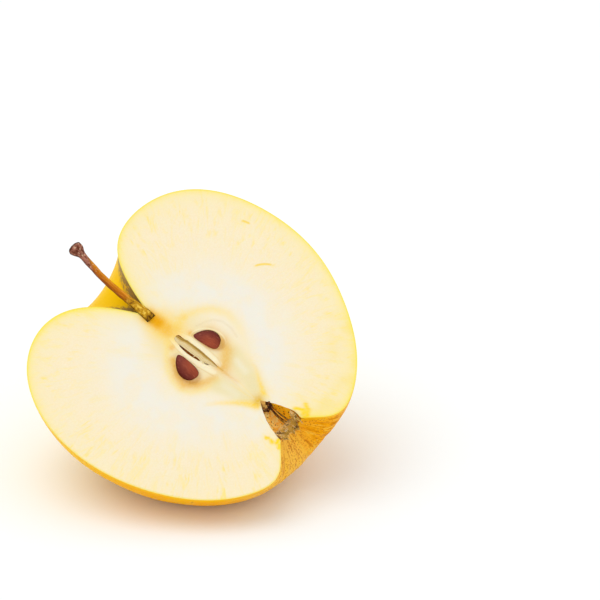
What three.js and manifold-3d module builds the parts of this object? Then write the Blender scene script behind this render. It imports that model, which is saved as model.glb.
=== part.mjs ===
// Half an apple, cut from stem to calyx, lying on its rounded back with the cut face up.
//
// Fruit frame, in millimetres: u runs across the cut face from the lower lobe to the upper
// lobe, w runs along the core towards the stem, and n points out of the cut face. The core
// centre is at 0,0,0. The group at the end turns the fruit frame into the resting pose, with
// +Z up and the middle of the box's underside at the origin.

import * as THREE from 'three';
import { mergeVertices } from 'three/addons/utils/BufferGeometryUtils.js';
import Module from 'manifold-3d';

const wasm = await Module();
wasm.setup();

// ---- Driving dimensions, in millimetres and degrees -------------------------------------

// Skin outline of each lobe in the cut face. The skin's distance from the core centre is
// radius * (1 + sum of waves[k] * cos((k + 1) * angle)), with the angle taken from the stem.
const lowerLobe = {
  radius: 38.6,
  waves: [0.014, -0.008, -0.061, -0.029, -0.0105, -0.005],
  stemWidth: 8.6,
  stemPower: 1.17,
};
const upperLobe = {
  radius: 41.6,
  waves: [0.037, -0.026, -0.041, -0.037, -0.011, -0.0125],
  stemWidth: 3.95,
  stemPower: 1.0,
};
const STEM_FLOOR = 15.7;         // bottom of the stem cavity, above the core centre
const CALYX_DEPTH = 9.9;         // depth of the calyx basin
const CALYX_WIDTH = 8.1;         // distance from its middle where the basin is a third as deep
const CALYX_POWER = 2.25;
const CALYX_SHIFT = 2.4;         // the basin's middle lies this far towards the upper lobe
const BACK_SHOULDER_DROP = 0.9;  // the shoulder behind the stem is this much lower
const BACK_CALYX_DROP = 1.3;     // the calyx end at the back is this much shorter
const RIB_COUNT = 5;             // ribs round the whole fruit
const RIB_HEIGHT = 0.012;        // rib height at the waist, as a share of the radius
const RIB_GAIN_CALYX = 0.012;    // what a rib gains towards the calyx
const END_BLEND = 0.15;          // cosine over which the stem half passes into the calyx half
const END_POWER = 0.5;           // how fast drops and ribs fade at both ends of the core line

const LEAN_BACK = 43.35;         // the cut face leans back from level by this angle
const FACE_TURN = 46.7;          // u is turned by this angle in the cut face
const FLAT_DEPTH = 2.2;          // how much of the back is flattened where it rests

const GAP = 0.3;                 // clearance between neighbouring pieces

// Stem: centre line points (u, w, n) from its foot in the fruit to the knob at its end.
const stemLine = [
  [-0.45, 14.9, -0.2],
  [-0.7, 21.6, 0],
  [-1.05, 28.5, 0.1],
  [-0.65, 36, 0.1],
  [-0.05, 42.85, 0.1],
];
const STEM_FOOT_RADIUS = 1.25;
const STEM_RADIUS = 0.9;
const STEM_KNOB_RADIUS = 1.9;
const STEM_KNOB_LENGTH = 1.7;
const STEM_KNOB_BACK = 0.35;     // the knob is thickest this far before the stem's end
const STEM_FOOT_REACH = 0.25;    // share of the length over which the foot's swelling fades
const STEM_END_BULGE = 0.25;     // height of the rounded end, as a share of its radius
const STEM_CHANNEL_LENGTH = 8;   // how much of the stem sits in the flesh

// Seeds: the tip points to the stem, the round end to the calyx.
const SEED_WIDTH = 4.4;
const SEED_THICKNESS = 2.8;
const SEED_SUNK = 0.4;           // the seed's middle lies this far under the cut face
const SEED_TIP_POWER = 0.75;     // above a half, so the tip is pointed
const SEED_END_POWER = 0.35;     // below a half, so the other end is blunt
const SEED_FULLNESS = 1.99;      // brings the widest station to the full width
const seeds = {
  seed_upper: { tip: [3.4, 4.3], lean: 24, side: 1, length: 7.4, bow: 0.75 },
  seed_lower: { tip: [-2.65, 3.6], lean: 11.4, side: -1, length: 8.0, bow: 0.6 },
};

// Open seed chamber on the core line, and the papery wall that lines its upper side.
const CHAMBER_LENGTH = 14;
const CHAMBER_WIDTH = 2.85;
const CHAMBER_DEPTH = 2.4;
const CHAMBER_TOP = [0.3, 7.5];
const CHAMBER_LEAN = 4.8;
const CHAMBER_SKEW = 0.6;        // below one, so the hollow is widest nearer its top
const CHAMBER_BLUNTNESS = 0.75;  // below one, so its ends are blunter than a sine
const WALL_SLIT = 0.95;          // the slit left open beside the wall, at its widest
const WALL_THICKNESS = 0.35;
const WALL_START = 0.05;         // stations of the hollow where the wall starts and ends
const WALL_END = 0.78;
const WALL_CREST = -0.15;        // height of the wall's ridge against the cut face
const WALL_FALL_LEFT = 0.3;      // how far the wall's two edges lie under its ridge
const WALL_FALL_RIGHT = 0.22;
const WALL_END_FALL = 0.9;       // how far the ridge sinks at both ends

// Calyx tube: a funnel from its blind end in the flesh out to the basin.
const TUBE_END = [2.6, -20.1];
const TUBE_LENGTH = 13;
const TUBE_RADIUS = 4.15;
const TUBE_FLARE = 6.2;          // reach over which it opens to most of its radius

// Dried flower parts in the calyx tube.
const TUFT_FOOT = [0.4, -2.2, -0.4]; // from the tube's blind end
const TUFT_AHEAD = [-0.01, -0.97, -0.2];
const TUFT_LENGTH = 6.8;
const TUFT_RADIUS = 0.6;
const TUFT_FLATNESS = 0.55;
const TUFT_TAPER = 0.62;         // share of the thickness lost by the end
const SEPAL_WIDTH = 3.2;
const SEPAL_THICKNESS = 0.35;
const SEPAL_OFF_WALL = 0.5;      // between the tube's wall and the outside of a sepal
const SEPAL_FOLD = 0.24;         // how far the edges fold towards the tube's middle
const sepals = {
  sepal_upper: { round: 10, out: 8.2, length: 4.1, curl: 0.1 },
  sepal_middle: { round: 74, out: 8.2, length: 4.0, curl: 1.1 },
  sepal_lower: { round: 136, out: 8.0, length: 3.9, curl: 0.6 },
};

// Mesh fineness: counts of segments.
const SKIN_STATIONS = 58;
const SKIN_SECTORS = 64;
const STATION_CROWDING = 0.4;    // brings the stations closer together at both ends
const CUT_BOX = 140;             // side of the boxes that cut the fruit

// ---- Small geometry helpers ---------------------------------------------------------------

const rad = THREE.MathUtils.degToRad;

// Closed surface through rings of points. A ring of one point is a pole.
function loft(rings) {
  const positions = [];
  const starts = [];
  for (const ring of rings) {
    starts.push(positions.length / 3);
    for (const p of ring) positions.push(p.x, p.y, p.z);
  }
  const index = [];
  for (let i = 0; i + 1 < rings.length; i++) {
    const a = starts[i];
    const b = starts[i + 1];
    const count = Math.max(rings[i].length, rings[i + 1].length);
    for (let k = 0; k < count; k++) {
      const next = (k + 1) % count;
      if (rings[i].length === 1) index.push(a, b + k, b + next);
      else if (rings[i + 1].length === 1) index.push(a + k, b, a + next);
      else index.push(a + k, b + k, b + next, a + k, b + next, a + next);
    }
  }
  const geometry = new THREE.BufferGeometry();
  geometry.setAttribute('position', new THREE.Float32BufferAttribute(positions, 3));
  geometry.setIndex(index);
  return facingOut(geometry);
}

// Turns every triangle round if the surface faces inwards.
function facingOut(geometry) {
  const p = geometry.getAttribute('position');
  const index = Array.from(geometry.index.array);
  const corner = (i) => new THREE.Vector3().fromBufferAttribute(p, index[i]);
  let volume = 0;
  for (let i = 0; i < index.length; i += 3) {
    volume += corner(i).dot(corner(i + 1).cross(corner(i + 2)));
  }
  if (volume < 0) geometry.setIndex(index.reverse());
  return geometry;
}

// Ring of points round a centre, in the plane of two directions.
function ring(centre, sideways, upwards, halfWidth, halfHeight, sectors) {
  const points = [];
  for (let k = 0; k < sectors; k++) {
    const angle = (2 * Math.PI * k) / sectors;
    points.push(centre.clone()
      .addScaledVector(sideways, halfWidth * Math.cos(angle))
      .addScaledVector(upwards, halfHeight * Math.sin(angle)));
  }
  return points;
}

function middleOf(points) {
  return points.reduce((sum, p) => sum.add(p), new THREE.Vector3()).divideScalar(points.length);
}

function toSolid(geometry) {
  const plain = geometry.clone();
  plain.deleteAttribute('normal');
  plain.deleteAttribute('uv');
  const merged = mergeVertices(plain, 1e-4);
  const mesh = new wasm.Mesh({
    numProp: 3,
    vertProperties: new Float32Array(merged.getAttribute('position').array),
    triVerts: new Uint32Array(merged.index.array),
  });
  return new wasm.Manifold(mesh);
}

function toGeometry(solid) {
  const mesh = solid.getMesh();
  const geometry = new THREE.BufferGeometry();
  geometry.setAttribute('position', new THREE.Float32BufferAttribute(mesh.vertProperties, 3));
  geometry.setIndex(Array.from(mesh.triVerts));
  geometry.computeVertexNormals();
  return geometry;
}

// ---- Skin ---------------------------------------------------------------------------------

// Distance of a lobe's skin from the core centre, before the two ends are hollowed.
function lobeDistance(lobe, angle) {
  let share = 1;
  lobe.waves.forEach((size, k) => {
    share += size * Math.cos((k + 1) * angle);
  });
  return lobe.radius * share;
}

// Skin outline of one lobe: distance from the core line and height along it.
function lobeOutline(lobe, angle) {
  const distance = lobeDistance(lobe, angle);
  const out = distance * Math.sin(angle);
  const stemSide = 0.5 * (1 + Math.tanh(Math.cos(angle) / END_BLEND));
  const shoulder = lobeDistance(lobe, 0) - STEM_FLOOR;
  const stemDip = shoulder * Math.exp(-((out / lobe.stemWidth) ** lobe.stemPower));
  const along = distance * Math.cos(angle) - stemSide * stemDip;
  return { out, along, stemSide };
}

// Point of the skin at an angle from the stem and an angle round the core, which starts at
// the upper lobe and goes over the back. The far side of the cut mirrors the back.
function skinPoint(angle, round) {
  const upper = lobeOutline(upperLobe, angle);
  const lower = lobeOutline(lowerLobe, angle);
  const share = 0.5 * (1 + Math.cos(round));
  const back = Math.abs(Math.sin(round));
  const ribSide = Math.sin(RIB_COUNT * Math.acos(Math.cos(round)));
  const ribHeight = RIB_HEIGHT + RIB_GAIN_CALYX * (1 - upper.stemSide) * Math.cos(angle) ** 2;
  const fade = Math.sin(angle) ** END_POWER;
  const rib = 1 + ribHeight * ribSide * fade;
  const out = (share * upper.out + (1 - share) * lower.out) * rib;
  const stemDrop = BACK_SHOULDER_DROP * upper.stemSide;
  const calyxDrop = BACK_CALYX_DROP * (1 - upper.stemSide);
  const drop = (stemDrop - calyxDrop) * back * fade;
  const across = out * Math.cos(round);
  const behind = -out * Math.sin(round);
  const fromCalyx = Math.hypot(across - CALYX_SHIFT, behind);
  const basin = CALYX_DEPTH * Math.exp(-((fromCalyx / CALYX_WIDTH) ** CALYX_POWER));
  const dip = basin * (1 - upper.stemSide);
  const along = share * upper.along + (1 - share) * lower.along - drop + dip;
  return new THREE.Vector3(across, along, behind);
}

function wholeFruit() {
  const rings = [];
  for (let i = 0; i <= SKIN_STATIONS; i++) {
    const t = i / SKIN_STATIONS;
    const angle = Math.PI * t - STATION_CROWDING * Math.sin(2 * Math.PI * t);
    if (i === 0 || i === SKIN_STATIONS) {
      rings.push([skinPoint(i === 0 ? 0 : Math.PI, 0)]);
      continue;
    }
    const points = [];
    for (let k = 0; k < SKIN_SECTORS; k++) {
      points.push(skinPoint(angle, (2 * Math.PI * k) / SKIN_SECTORS));
    }
    rings.push(points);
  }
  return loft(rings);
}

// ---- Stem ---------------------------------------------------------------------------------

const stemCurve = new THREE.CatmullRomCurve3(stemLine.map((p) => new THREE.Vector3(...p)));

function stemRadius(t) {
  const toKnob = (1 - t) * stemCurve.getLength() - STEM_KNOB_BACK;
  const knob = Math.exp(-((toKnob / STEM_KNOB_LENGTH) ** 2));
  const foot = Math.exp(-((t / STEM_FOOT_REACH) ** 2));
  const footGain = (STEM_FOOT_RADIUS - STEM_RADIUS) * foot;
  const knobGain = (STEM_KNOB_RADIUS - STEM_RADIUS) * knob;
  return STEM_RADIUS + footGain + knobGain;
}

// Round bar along the stem's line, grown by a clearance and cut short at a length.
function stemBar(clearance, length, rings, sectors) {
  const whole = stemCurve.getLength();
  const upwards = new THREE.Vector3(0, 0, 1);
  const list = [];
  for (let i = 0; i <= rings; i++) {
    const t = (length / whole) * (i / rings);
    const centre = stemCurve.getPointAt(t);
    const ahead = stemCurve.getTangentAt(t);
    const sideways = new THREE.Vector3().crossVectors(ahead, upwards).normalize();
    const over = new THREE.Vector3().crossVectors(sideways, ahead);
    const radius = stemRadius(t) + clearance;
    if (i === 0) {
      centre.addScaledVector(ahead, -clearance);
      list.push([centre]);
    }
    list.push(ring(centre, sideways, over, radius, radius, sectors));
    if (i === rings) list.push([centre.clone().addScaledVector(ahead, STEM_END_BULGE * radius)]);
  }
  return loft(list);
}

// ---- Seeds --------------------------------------------------------------------------------

// Teardrop seed: flat towards the core, bulged away from it, grown by a clearance.
function seedBody(seed, clearance, rings, sectors) {
  const lean = rad(seed.lean) * seed.side;
  const ahead = new THREE.Vector3(Math.sin(lean), -Math.cos(lean), 0);
  const outwards = new THREE.Vector3(Math.cos(lean) * seed.side, Math.sin(lean) * seed.side, 0);
  const up = new THREE.Vector3(0, 0, 1);
  const tip = new THREE.Vector3(seed.tip[0], seed.tip[1], -SEED_SUNK);
  const list = [];
  for (let i = 0; i <= rings; i++) {
    const t = 0.5 - 0.5 * Math.cos((Math.PI * i) / rings);
    const span = seed.length + 2 * clearance;
    const full = SEED_FULLNESS * t ** SEED_TIP_POWER * (1 - t) ** SEED_END_POWER;
    const bow = seed.bow * Math.sin(Math.PI * t);
    const centre = tip.clone();
    centre.addScaledVector(ahead, span * t - clearance);
    centre.addScaledVector(outwards, bow);
    if (i === 0 || i === rings) {
      list.push([centre]);
      continue;
    }
    const halfWidth = (SEED_WIDTH / 2 + clearance) * full;
    const halfHeight = (SEED_THICKNESS / 2 + clearance) * full;
    list.push(ring(centre, outwards, up, halfWidth, halfHeight, sectors));
  }
  return loft(list);
}

// ---- Seed chamber and its wall ------------------------------------------------------------

const chamberTurn = rad(CHAMBER_LEAN);
const chamberAhead = new THREE.Vector3(Math.sin(chamberTurn), -Math.cos(chamberTurn), 0);
const chamberSide = new THREE.Vector3(Math.cos(chamberTurn), Math.sin(chamberTurn), 0);

function chamberPoint(t) {
  const top = new THREE.Vector3(CHAMBER_TOP[0], CHAMBER_TOP[1], 0);
  return top.addScaledVector(chamberAhead, CHAMBER_LENGTH * t);
}

// Share of the hollow's full width at a station from its top (0) to its foot (1).
function chamberFullness(t) {
  return Math.sin(Math.PI * t ** CHAMBER_SKEW) ** CHAMBER_BLUNTNESS;
}

// Boat-shaped hollow, open at the cut face.
function chamberHollow() {
  const up = new THREE.Vector3(0, 0, 1);
  const steps = 16;
  const list = [[chamberPoint(0)]];
  for (let i = 1; i < steps; i++) {
    const full = chamberFullness(i / steps);
    const halfWidth = (CHAMBER_WIDTH / 2) * full;
    list.push(ring(chamberPoint(i / steps), chamberSide, up, halfWidth, CHAMBER_DEPTH * full, 16));
  }
  list.push([chamberPoint(1)]);
  return loft(list);
}

// Thin ridged strip: the papery wall, nearer the upper side of the hollow.
function chamberWall() {
  const steps = 14;
  const list = [];
  for (let i = 0; i <= steps; i++) {
    const t = WALL_START + (WALL_END - WALL_START) * (i / steps);
    const full = chamberFullness(t);
    const right = (CHAMBER_WIDTH / 2) * full - GAP;
    const left = WALL_SLIT * full - (CHAMBER_WIDTH / 2) * full;
    const ridge = 0.5 * (left + right);
    const crest = WALL_CREST - WALL_END_FALL * (1 - full);
    const section = [[left, WALL_FALL_LEFT], [ridge, 0], [right, WALL_FALL_RIGHT]];
    const over = section.map(([side, fall]) => {
      const p = chamberPoint(t).addScaledVector(chamberSide, side);
      return p.setZ(crest - fall);
    });
    const under = over.map((p) => p.clone().setZ(p.z - WALL_THICKNESS)).reverse();
    list.push([...over, ...under]);
  }
  return loft([[middleOf(list[0])], ...list, [middleOf(list[steps])]]);
}

// ---- Calyx --------------------------------------------------------------------------------

const tubeEnd = new THREE.Vector3(TUBE_END[0], TUBE_END[1], 0);

function tubeRadius(reach) {
  return TUBE_RADIUS * Math.tanh(reach / TUBE_FLARE);
}

// Funnel-shaped hollow. Its lathe axis is the w axis, and the blind end points to the stem.
function tubeHollow() {
  const steps = 12;
  const profile = [new THREE.Vector2(0, -TUBE_LENGTH)];
  for (let i = steps; i >= 1; i--) {
    const reach = (TUBE_LENGTH * i) / steps;
    profile.push(new THREE.Vector2(tubeRadius(reach), -reach));
  }
  profile.push(new THREE.Vector2(0, 0));
  const funnel = new THREE.LatheGeometry(profile, 32);
  funnel.translate(tubeEnd.x, tubeEnd.y, tubeEnd.z);
  return funnel;
}

// Withered stamens: one tapering tuft from the blind end of the tube.
function stamenTuft() {
  const foot = tubeEnd.clone().add(new THREE.Vector3(...TUFT_FOOT));
  const ahead = new THREE.Vector3(...TUFT_AHEAD).normalize();
  const up = new THREE.Vector3(1, 0, 0).cross(ahead).normalize();
  const sideways = new THREE.Vector3().crossVectors(ahead, up);
  const steps = 10;
  const list = [];
  for (let i = 0; i <= steps; i++) {
    const t = i / steps;
    const centre = foot.clone().addScaledVector(ahead, TUFT_LENGTH * t);
    if (i === 0 || i === steps) {
      list.push([centre]);
      continue;
    }
    const opening = Math.sqrt(Math.sin(0.5 * Math.PI * Math.min(1, 3 * t)));
    const halfWidth = TUFT_RADIUS * (1 - TUFT_TAPER * t) * opening;
    list.push(ring(centre, sideways, up, halfWidth, TUFT_FLATNESS * halfWidth, 8));
  }
  return loft(list);
}

// Point inside the calyx tube, by its reach from the blind end and its stand from the axis.
function tubePoint(reach, outwards, stand) {
  return tubeEnd.clone().add(new THREE.Vector3(0, -reach, 0)).addScaledVector(outwards, stand);
}

// Dried sepal: a thin pointed leaf that stands along the tube's wall and curls to its middle.
function sepalLeaf(sepal) {
  const round = rad(sepal.round);
  const outwards = new THREE.Vector3(Math.cos(round), 0, -Math.sin(round));
  const sideways = new THREE.Vector3(-Math.sin(round), 0, -Math.cos(round));
  const standAt = (t) => {
    const wall = tubeRadius(sepal.out + sepal.length * t) - tubeRadius(sepal.out);
    return tubeRadius(sepal.out) - SEPAL_OFF_WALL - SEPAL_THICKNESS + 0.5 * wall - sepal.curl * t * t;
  };
  const steps = 7;
  const list = [];
  for (let i = 0; i < steps; i++) {
    const t = i / steps;
    const half = 0.5 * SEPAL_WIDTH * (1 - t ** 1.6) * (0.7 + 0.6 * t);
    const outer = [];
    const inner = [];
    for (const s of [-1, -0.5, 0, 0.5, 1]) {
      const stand = standAt(t) - SEPAL_FOLD * half * s * s;
      const reach = sepal.out + sepal.length * t;
      const thickness = SEPAL_THICKNESS * (1 - 0.4 * t);
      outer.push(tubePoint(reach, outwards, stand).addScaledVector(sideways, half * s));
      inner.push(tubePoint(reach, outwards, stand - thickness).addScaledVector(sideways, half * s));
    }
    list.push([...outer, ...inner.reverse()]);
  }
  const tip = tubePoint(sepal.out + sepal.length, outwards, standAt(1));
  return loft([[middleOf(list[0])], ...list, [tip]]);
}

// ---- Resting pose -------------------------------------------------------------------------

const turn = new THREE.Euler(rad(LEAN_BACK), 0, rad(FACE_TURN));
const pose = new THREE.Matrix4().makeRotationFromEuler(turn);
const poseBack = pose.clone().invert();

const cutAway = new THREE.BoxGeometry(CUT_BOX, CUT_BOX, CUT_BOX).translate(0, 0, CUT_BOX / 2);
let flesh = toSolid(wholeFruit()).subtract(toSolid(cutAway));

const onBack = toGeometry(flesh).applyMatrix4(pose);
onBack.computeBoundingBox();
const floorHeight = onBack.boundingBox.min.z + FLAT_DEPTH;
const underFloor = new THREE.BoxGeometry(CUT_BOX, CUT_BOX, CUT_BOX)
  .translate(0, 0, floorHeight - CUT_BOX / 2)
  .applyMatrix4(poseBack);

flesh = flesh
  .subtract(toSolid(underFloor))
  .subtract(toSolid(stemBar(GAP, STEM_CHANNEL_LENGTH, 10, 16)))
  .subtract(toSolid(chamberHollow()))
  .subtract(toSolid(tubeHollow()));
for (const seed of Object.values(seeds)) {
  flesh = flesh.subtract(toSolid(seedBody(seed, GAP, 14, 18)));
}

// ---- Assembly -----------------------------------------------------------------------------

const fleshFinish = new THREE.MeshStandardMaterial({ color: 0xfdefc6, roughness: 0.5 });
const stemFinish = new THREE.MeshStandardMaterial({ color: 0x8a4a1c, roughness: 0.75 });
const seedFinish = new THREE.MeshStandardMaterial({ color: 0x7c3326, roughness: 0.3 });
const wallFinish = new THREE.MeshStandardMaterial({ color: 0xddcf9c, roughness: 0.5 });
const driedFinish = new THREE.MeshStandardMaterial({ color: 0x8b8258, roughness: 0.9 });
const tuftFinish = new THREE.MeshStandardMaterial({ color: 0x4a3024, roughness: 0.9 });

const fruit = new THREE.Group();
fruit.rotation.copy(turn);

function addPiece(name, geometry, finish) {
  const mesh = new THREE.Mesh(geometry, finish.clone());
  mesh.name = name;
  fruit.add(mesh);
}

addPiece('apple_half', toGeometry(flesh), fleshFinish);
addPiece('stem', stemBar(0, stemCurve.getLength(), 26, 14), stemFinish);
for (const [name, seed] of Object.entries(seeds)) {
  addPiece(name, seedBody(seed, 0, 14, 16), seedFinish);
}
addPiece('carpel_wall', chamberWall(), wallFinish);
addPiece('stamens', stamenTuft(), tuftFinish);
for (const [name, sepal] of Object.entries(sepals)) {
  addPiece(name, sepalLeaf(sepal), driedFinish);
}

// Sets the box's underside on the floor, with its middle at the origin.
const object = new THREE.Group();
object.add(fruit);
object.updateMatrixWorld(true);
const box = new THREE.Box3().setFromObject(object, true);
const middle = box.getCenter(new THREE.Vector3());
fruit.position.set(-middle.x, -middle.y, -box.min.z);

export default object;
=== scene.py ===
import math

import bmesh
import bpy
import numpy as np
from mathutils import Matrix, Vector, kdtree, noise


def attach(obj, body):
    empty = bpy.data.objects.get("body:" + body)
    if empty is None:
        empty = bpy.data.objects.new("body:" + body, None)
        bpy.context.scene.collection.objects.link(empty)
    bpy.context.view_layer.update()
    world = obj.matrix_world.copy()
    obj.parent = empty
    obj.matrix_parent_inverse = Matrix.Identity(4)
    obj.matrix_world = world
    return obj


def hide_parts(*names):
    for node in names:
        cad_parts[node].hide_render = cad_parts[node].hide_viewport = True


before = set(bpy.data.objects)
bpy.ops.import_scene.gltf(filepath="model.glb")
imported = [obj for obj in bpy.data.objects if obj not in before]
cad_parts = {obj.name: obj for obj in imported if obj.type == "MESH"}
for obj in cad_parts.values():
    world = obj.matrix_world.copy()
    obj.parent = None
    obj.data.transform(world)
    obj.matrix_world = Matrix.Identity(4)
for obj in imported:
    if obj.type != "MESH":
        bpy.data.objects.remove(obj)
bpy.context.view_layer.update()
scene = bpy.context.scene

# ---- Camera --------------------------------------------------------------------------------
# A long lens looks down at the half by about 25 degrees, from half a metre away. The half
# sits left of the middle of a square image.

IMAGE_SIDE = 600  # pixels
FOCAL_LENGTH = 2000  # pixels
SENSOR_WIDTH = 36.0  # millimetres
CAMERA_PLACE = (0.029442, -0.455391, 0.258292)  # metres
CAMERA_TURN = (64.983, 0.215, 0.211)  # degrees

lens = bpy.data.cameras.new("long_lens")
lens.sensor_width = SENSOR_WIDTH
lens.lens = SENSOR_WIDTH * FOCAL_LENGTH / IMAGE_SIDE
lens.clip_start = 0.01
lens.clip_end = 20
camera = bpy.data.objects.new("camera", lens)
camera.location = CAMERA_PLACE
camera.rotation_euler = [math.radians(angle) for angle in CAMERA_TURN]
scene.collection.objects.link(camera)
scene.camera = camera

# ---- Floor and studio light ----------------------------------------------------------------
# White matt laminate on a table, under a white light tent: even light from all round, and a
# very soft lamp nearly overhead that gives the half a faint warm shadow.

FLOOR_SIDE = 8.0  # metres
TENT_COLOUR = (0.94, 0.973, 1.0, 1.0)  # linear light, faintly cool
TENT_STRENGTH = 0.912
LAMP_COLOUR = (1.0, 0.91, 0.8)  # linear light, warm
LAMP_STRENGTH = 0.7
LAMP_SPREAD = 50  # degrees of sky that the lamp fills
LAMP_TURN = (6, -16, 0)  # degrees

scene.view_settings.view_transform = "Standard"


def linear(code):
    """A colour written as sRGB hex, turned to linear light for the shaders."""
    channels = [int(code[i : i + 2], 16) / 255 for i in (1, 3, 5)]
    return [c / 12.92 if c <= 0.04045 else ((c + 0.055) / 1.055) ** 2.4 for c in channels] + [1.0]


def add(tree, kind, settings, sockets):
    """Adds a shader node, sets it, and links or fills its sockets."""
    node = tree.nodes.new(kind)
    for name, value in settings.items():
        setattr(node, name, value)
    for name, value in sockets.items():
        if isinstance(value, bpy.types.NodeSocket):
            tree.links.new(value, node.inputs[name])
        else:
            node.inputs[name].default_value = value
    return node


def new_material(name):
    """An empty node material and its node tree."""
    material = bpy.data.materials.new(name)
    material.use_nodes = True
    material.node_tree.nodes.clear()
    return material, material.node_tree


# White laminate: matt, so the shadow on it is clean and has no mirror image. Clouds a third
# of a metre wide break up its white, too faint to be seen as clouds.
white_laminate, tree = new_material("white_laminate")
place = add(tree, "ShaderNodeTexCoord", {}, {})
cloud = add(
    tree,
    "ShaderNodeTexNoise",
    {},
    {"Vector": place.outputs["Object"], "Scale": 3.0, "Detail": 2.0},
)
shade = add(
    tree,
    "ShaderNodeMix",
    {"data_type": "RGBA"},
    {0: cloud.outputs["Fac"], 6: linear("#F9FDFF"), 7: linear("#FBFEFF")},
)
surface = add(
    tree,
    "ShaderNodeBsdfPrincipled",
    {},
    {"Base Color": shade.outputs[2], "Roughness": 0.85, "Specular IOR Level": 0.2},
)
add(tree, "ShaderNodeOutputMaterial", {}, {"Surface": surface.outputs[0]})

floor_mesh = bpy.data.meshes.new("floor")
corner = FLOOR_SIDE / 2
floor_mesh.from_pydata(
    [(-corner, -corner, 0), (corner, -corner, 0), (corner, corner, 0), (-corner, corner, 0)],
    [],
    [(0, 1, 2, 3)],
)
floor_mesh.materials.append(white_laminate)
floor = bpy.data.objects.new("floor", floor_mesh)
scene.collection.objects.link(floor)

tent = bpy.data.worlds.new("light_tent")
tent.use_nodes = True
tent.node_tree.nodes.clear()
glow = add(
    tent.node_tree,
    "ShaderNodeBackground",
    {},
    {"Color": TENT_COLOUR, "Strength": TENT_STRENGTH},
)
add(tent.node_tree, "ShaderNodeOutputWorld", {}, {"Surface": glow.outputs[0]})
scene.world = tent

overhead = bpy.data.lights.new("overhead_lamp", "SUN")
overhead.energy = LAMP_STRENGTH
overhead.color = LAMP_COLOUR
overhead.angle = math.radians(LAMP_SPREAD)
overhead_lamp = bpy.data.objects.new("overhead_lamp", overhead)
overhead_lamp.rotation_euler = [math.radians(angle) for angle in LAMP_TURN]
scene.collection.objects.link(overhead_lamp)

# ---- Seeds ---------------------------------------------------------------------------------
# Two ripe seeds lie whole in their sockets, tips to the stem. The seed coat is hard, glossy
# and red-brown, with a fine grain from the tip to the round end, and painted shade at its edge.

MM = 0.001
LEAN_BACK = math.radians(43.35)  # the cut face leans back from level
FACE_TURN = math.radians(46.7)  # turn of the fruit in the plane of the cut
CORE = np.array([0.638, -8.267, 34.383])  # core centre in the row frame, millimetres
POSE = np.array(Matrix.Rotation(LEAN_BACK, 3, "X") @ Matrix.Rotation(FACE_TURN, 3, "Z"))

SEED_WIDTH = 4.4
SEED_THICKNESS = 2.8
SEED_SUNK = 0.4  # the middle of a seed lies this far under the cut
SEED_FULLNESS = 1.99  # brings the widest place of a seed to its full width
SEED_TIP_POWER = 0.75  # how pointed the tip is
SEED_END_POWER = 0.35  # how round the other end is
DENT_DEPTH = 0.03  # share of the distance to the seed's middle
DENTS_PER_MM = 0.55
# Where each tip lies in the cut, how far the seed leans off the core line and to which side,
# how long it is and how far it bows outwards: millimetres and degrees.
SEEDS = {
    "seed_upper": {"tip": (3.4, 4.3), "lean": 24.0, "side": 1, "length": 7.4, "bow": 0.75},
    "seed_lower": {"tip": (-2.65, 3.6), "lean": 11.4, "side": -1, "length": 8.0, "bow": 0.6},
}


def in_row(points):
    """Fruit-frame points (across, along, out of the cut; mm) in the row frame, in metres."""
    return (np.asarray(points) @ POSE.T + CORE) * MM


def in_fruit(points):
    """The way back: row-frame metres to fruit-frame millimetres."""
    return (np.asarray(points) / MM - CORE) @ POSE


def loft(rings, first, last):
    """Points and faces of a closed skin over rings of points, with a pole at each end."""
    count, sides = rings.shape[:2]
    points = np.vstack([rings.reshape(-1, 3), first, last])
    start = count * sides
    faces = []
    for i in range(count - 1):
        for k in range(sides):
            a = i * sides + k
            b = i * sides + (k + 1) % sides
            faces.append((a, b, b + sides, a + sides))
    for k in range(sides):
        after = (k + 1) % sides
        faces.append((after, k, start))
        faces.append((start - sides + k, start - sides + after, start + 1))
    return points, faces


def joined(parts):
    """Several lofts as one set of points and faces."""
    points, faces, start = [], [], 0
    for part_points, part_faces in parts:
        points.append(part_points)
        faces += [tuple(i + start for i in face) for face in part_faces]
        start += len(part_points)
    return np.vstack(points), faces


def make_object(name, points, faces):
    """A smooth mesh object from fruit-frame points, its faces turned outwards."""
    mesh = bpy.data.meshes.new(name)
    mesh.from_pydata(in_row(points).tolist(), [], faces)
    work = bmesh.new()
    work.from_mesh(mesh)
    bmesh.ops.recalc_face_normals(work, faces=work.faces)
    work.to_mesh(mesh)
    work.free()
    mesh.shade_smooth()
    piece = bpy.data.objects.new(name, mesh)
    scene.collection.objects.link(piece)
    return piece


def store(piece, name, values):
    """Keeps a number or a vector on every vertex, for the material to read."""
    values = np.asarray(values, dtype=np.float32)
    kind, field = ("FLOAT", "value") if values.ndim == 1 else ("FLOAT_VECTOR", "vector")
    attribute = piece.data.attributes.new(name, kind, "POINT")
    attribute.data.foreach_set(field, values.ravel())


def vertex_points(piece):
    """Vertex positions of a piece in the fruit frame, in millimetres."""
    places = np.empty(len(piece.data.vertices) * 3, dtype=np.float32)
    piece.data.vertices.foreach_get("co", places)
    return in_fruit(places.reshape(-1, 3).astype(float))


def seed_fullness(t):
    """Share of a seed's full width, from its tip (0) to its round end (1)."""
    return SEED_FULLNESS * t**SEED_TIP_POWER * (1 - t) ** SEED_END_POWER


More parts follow.
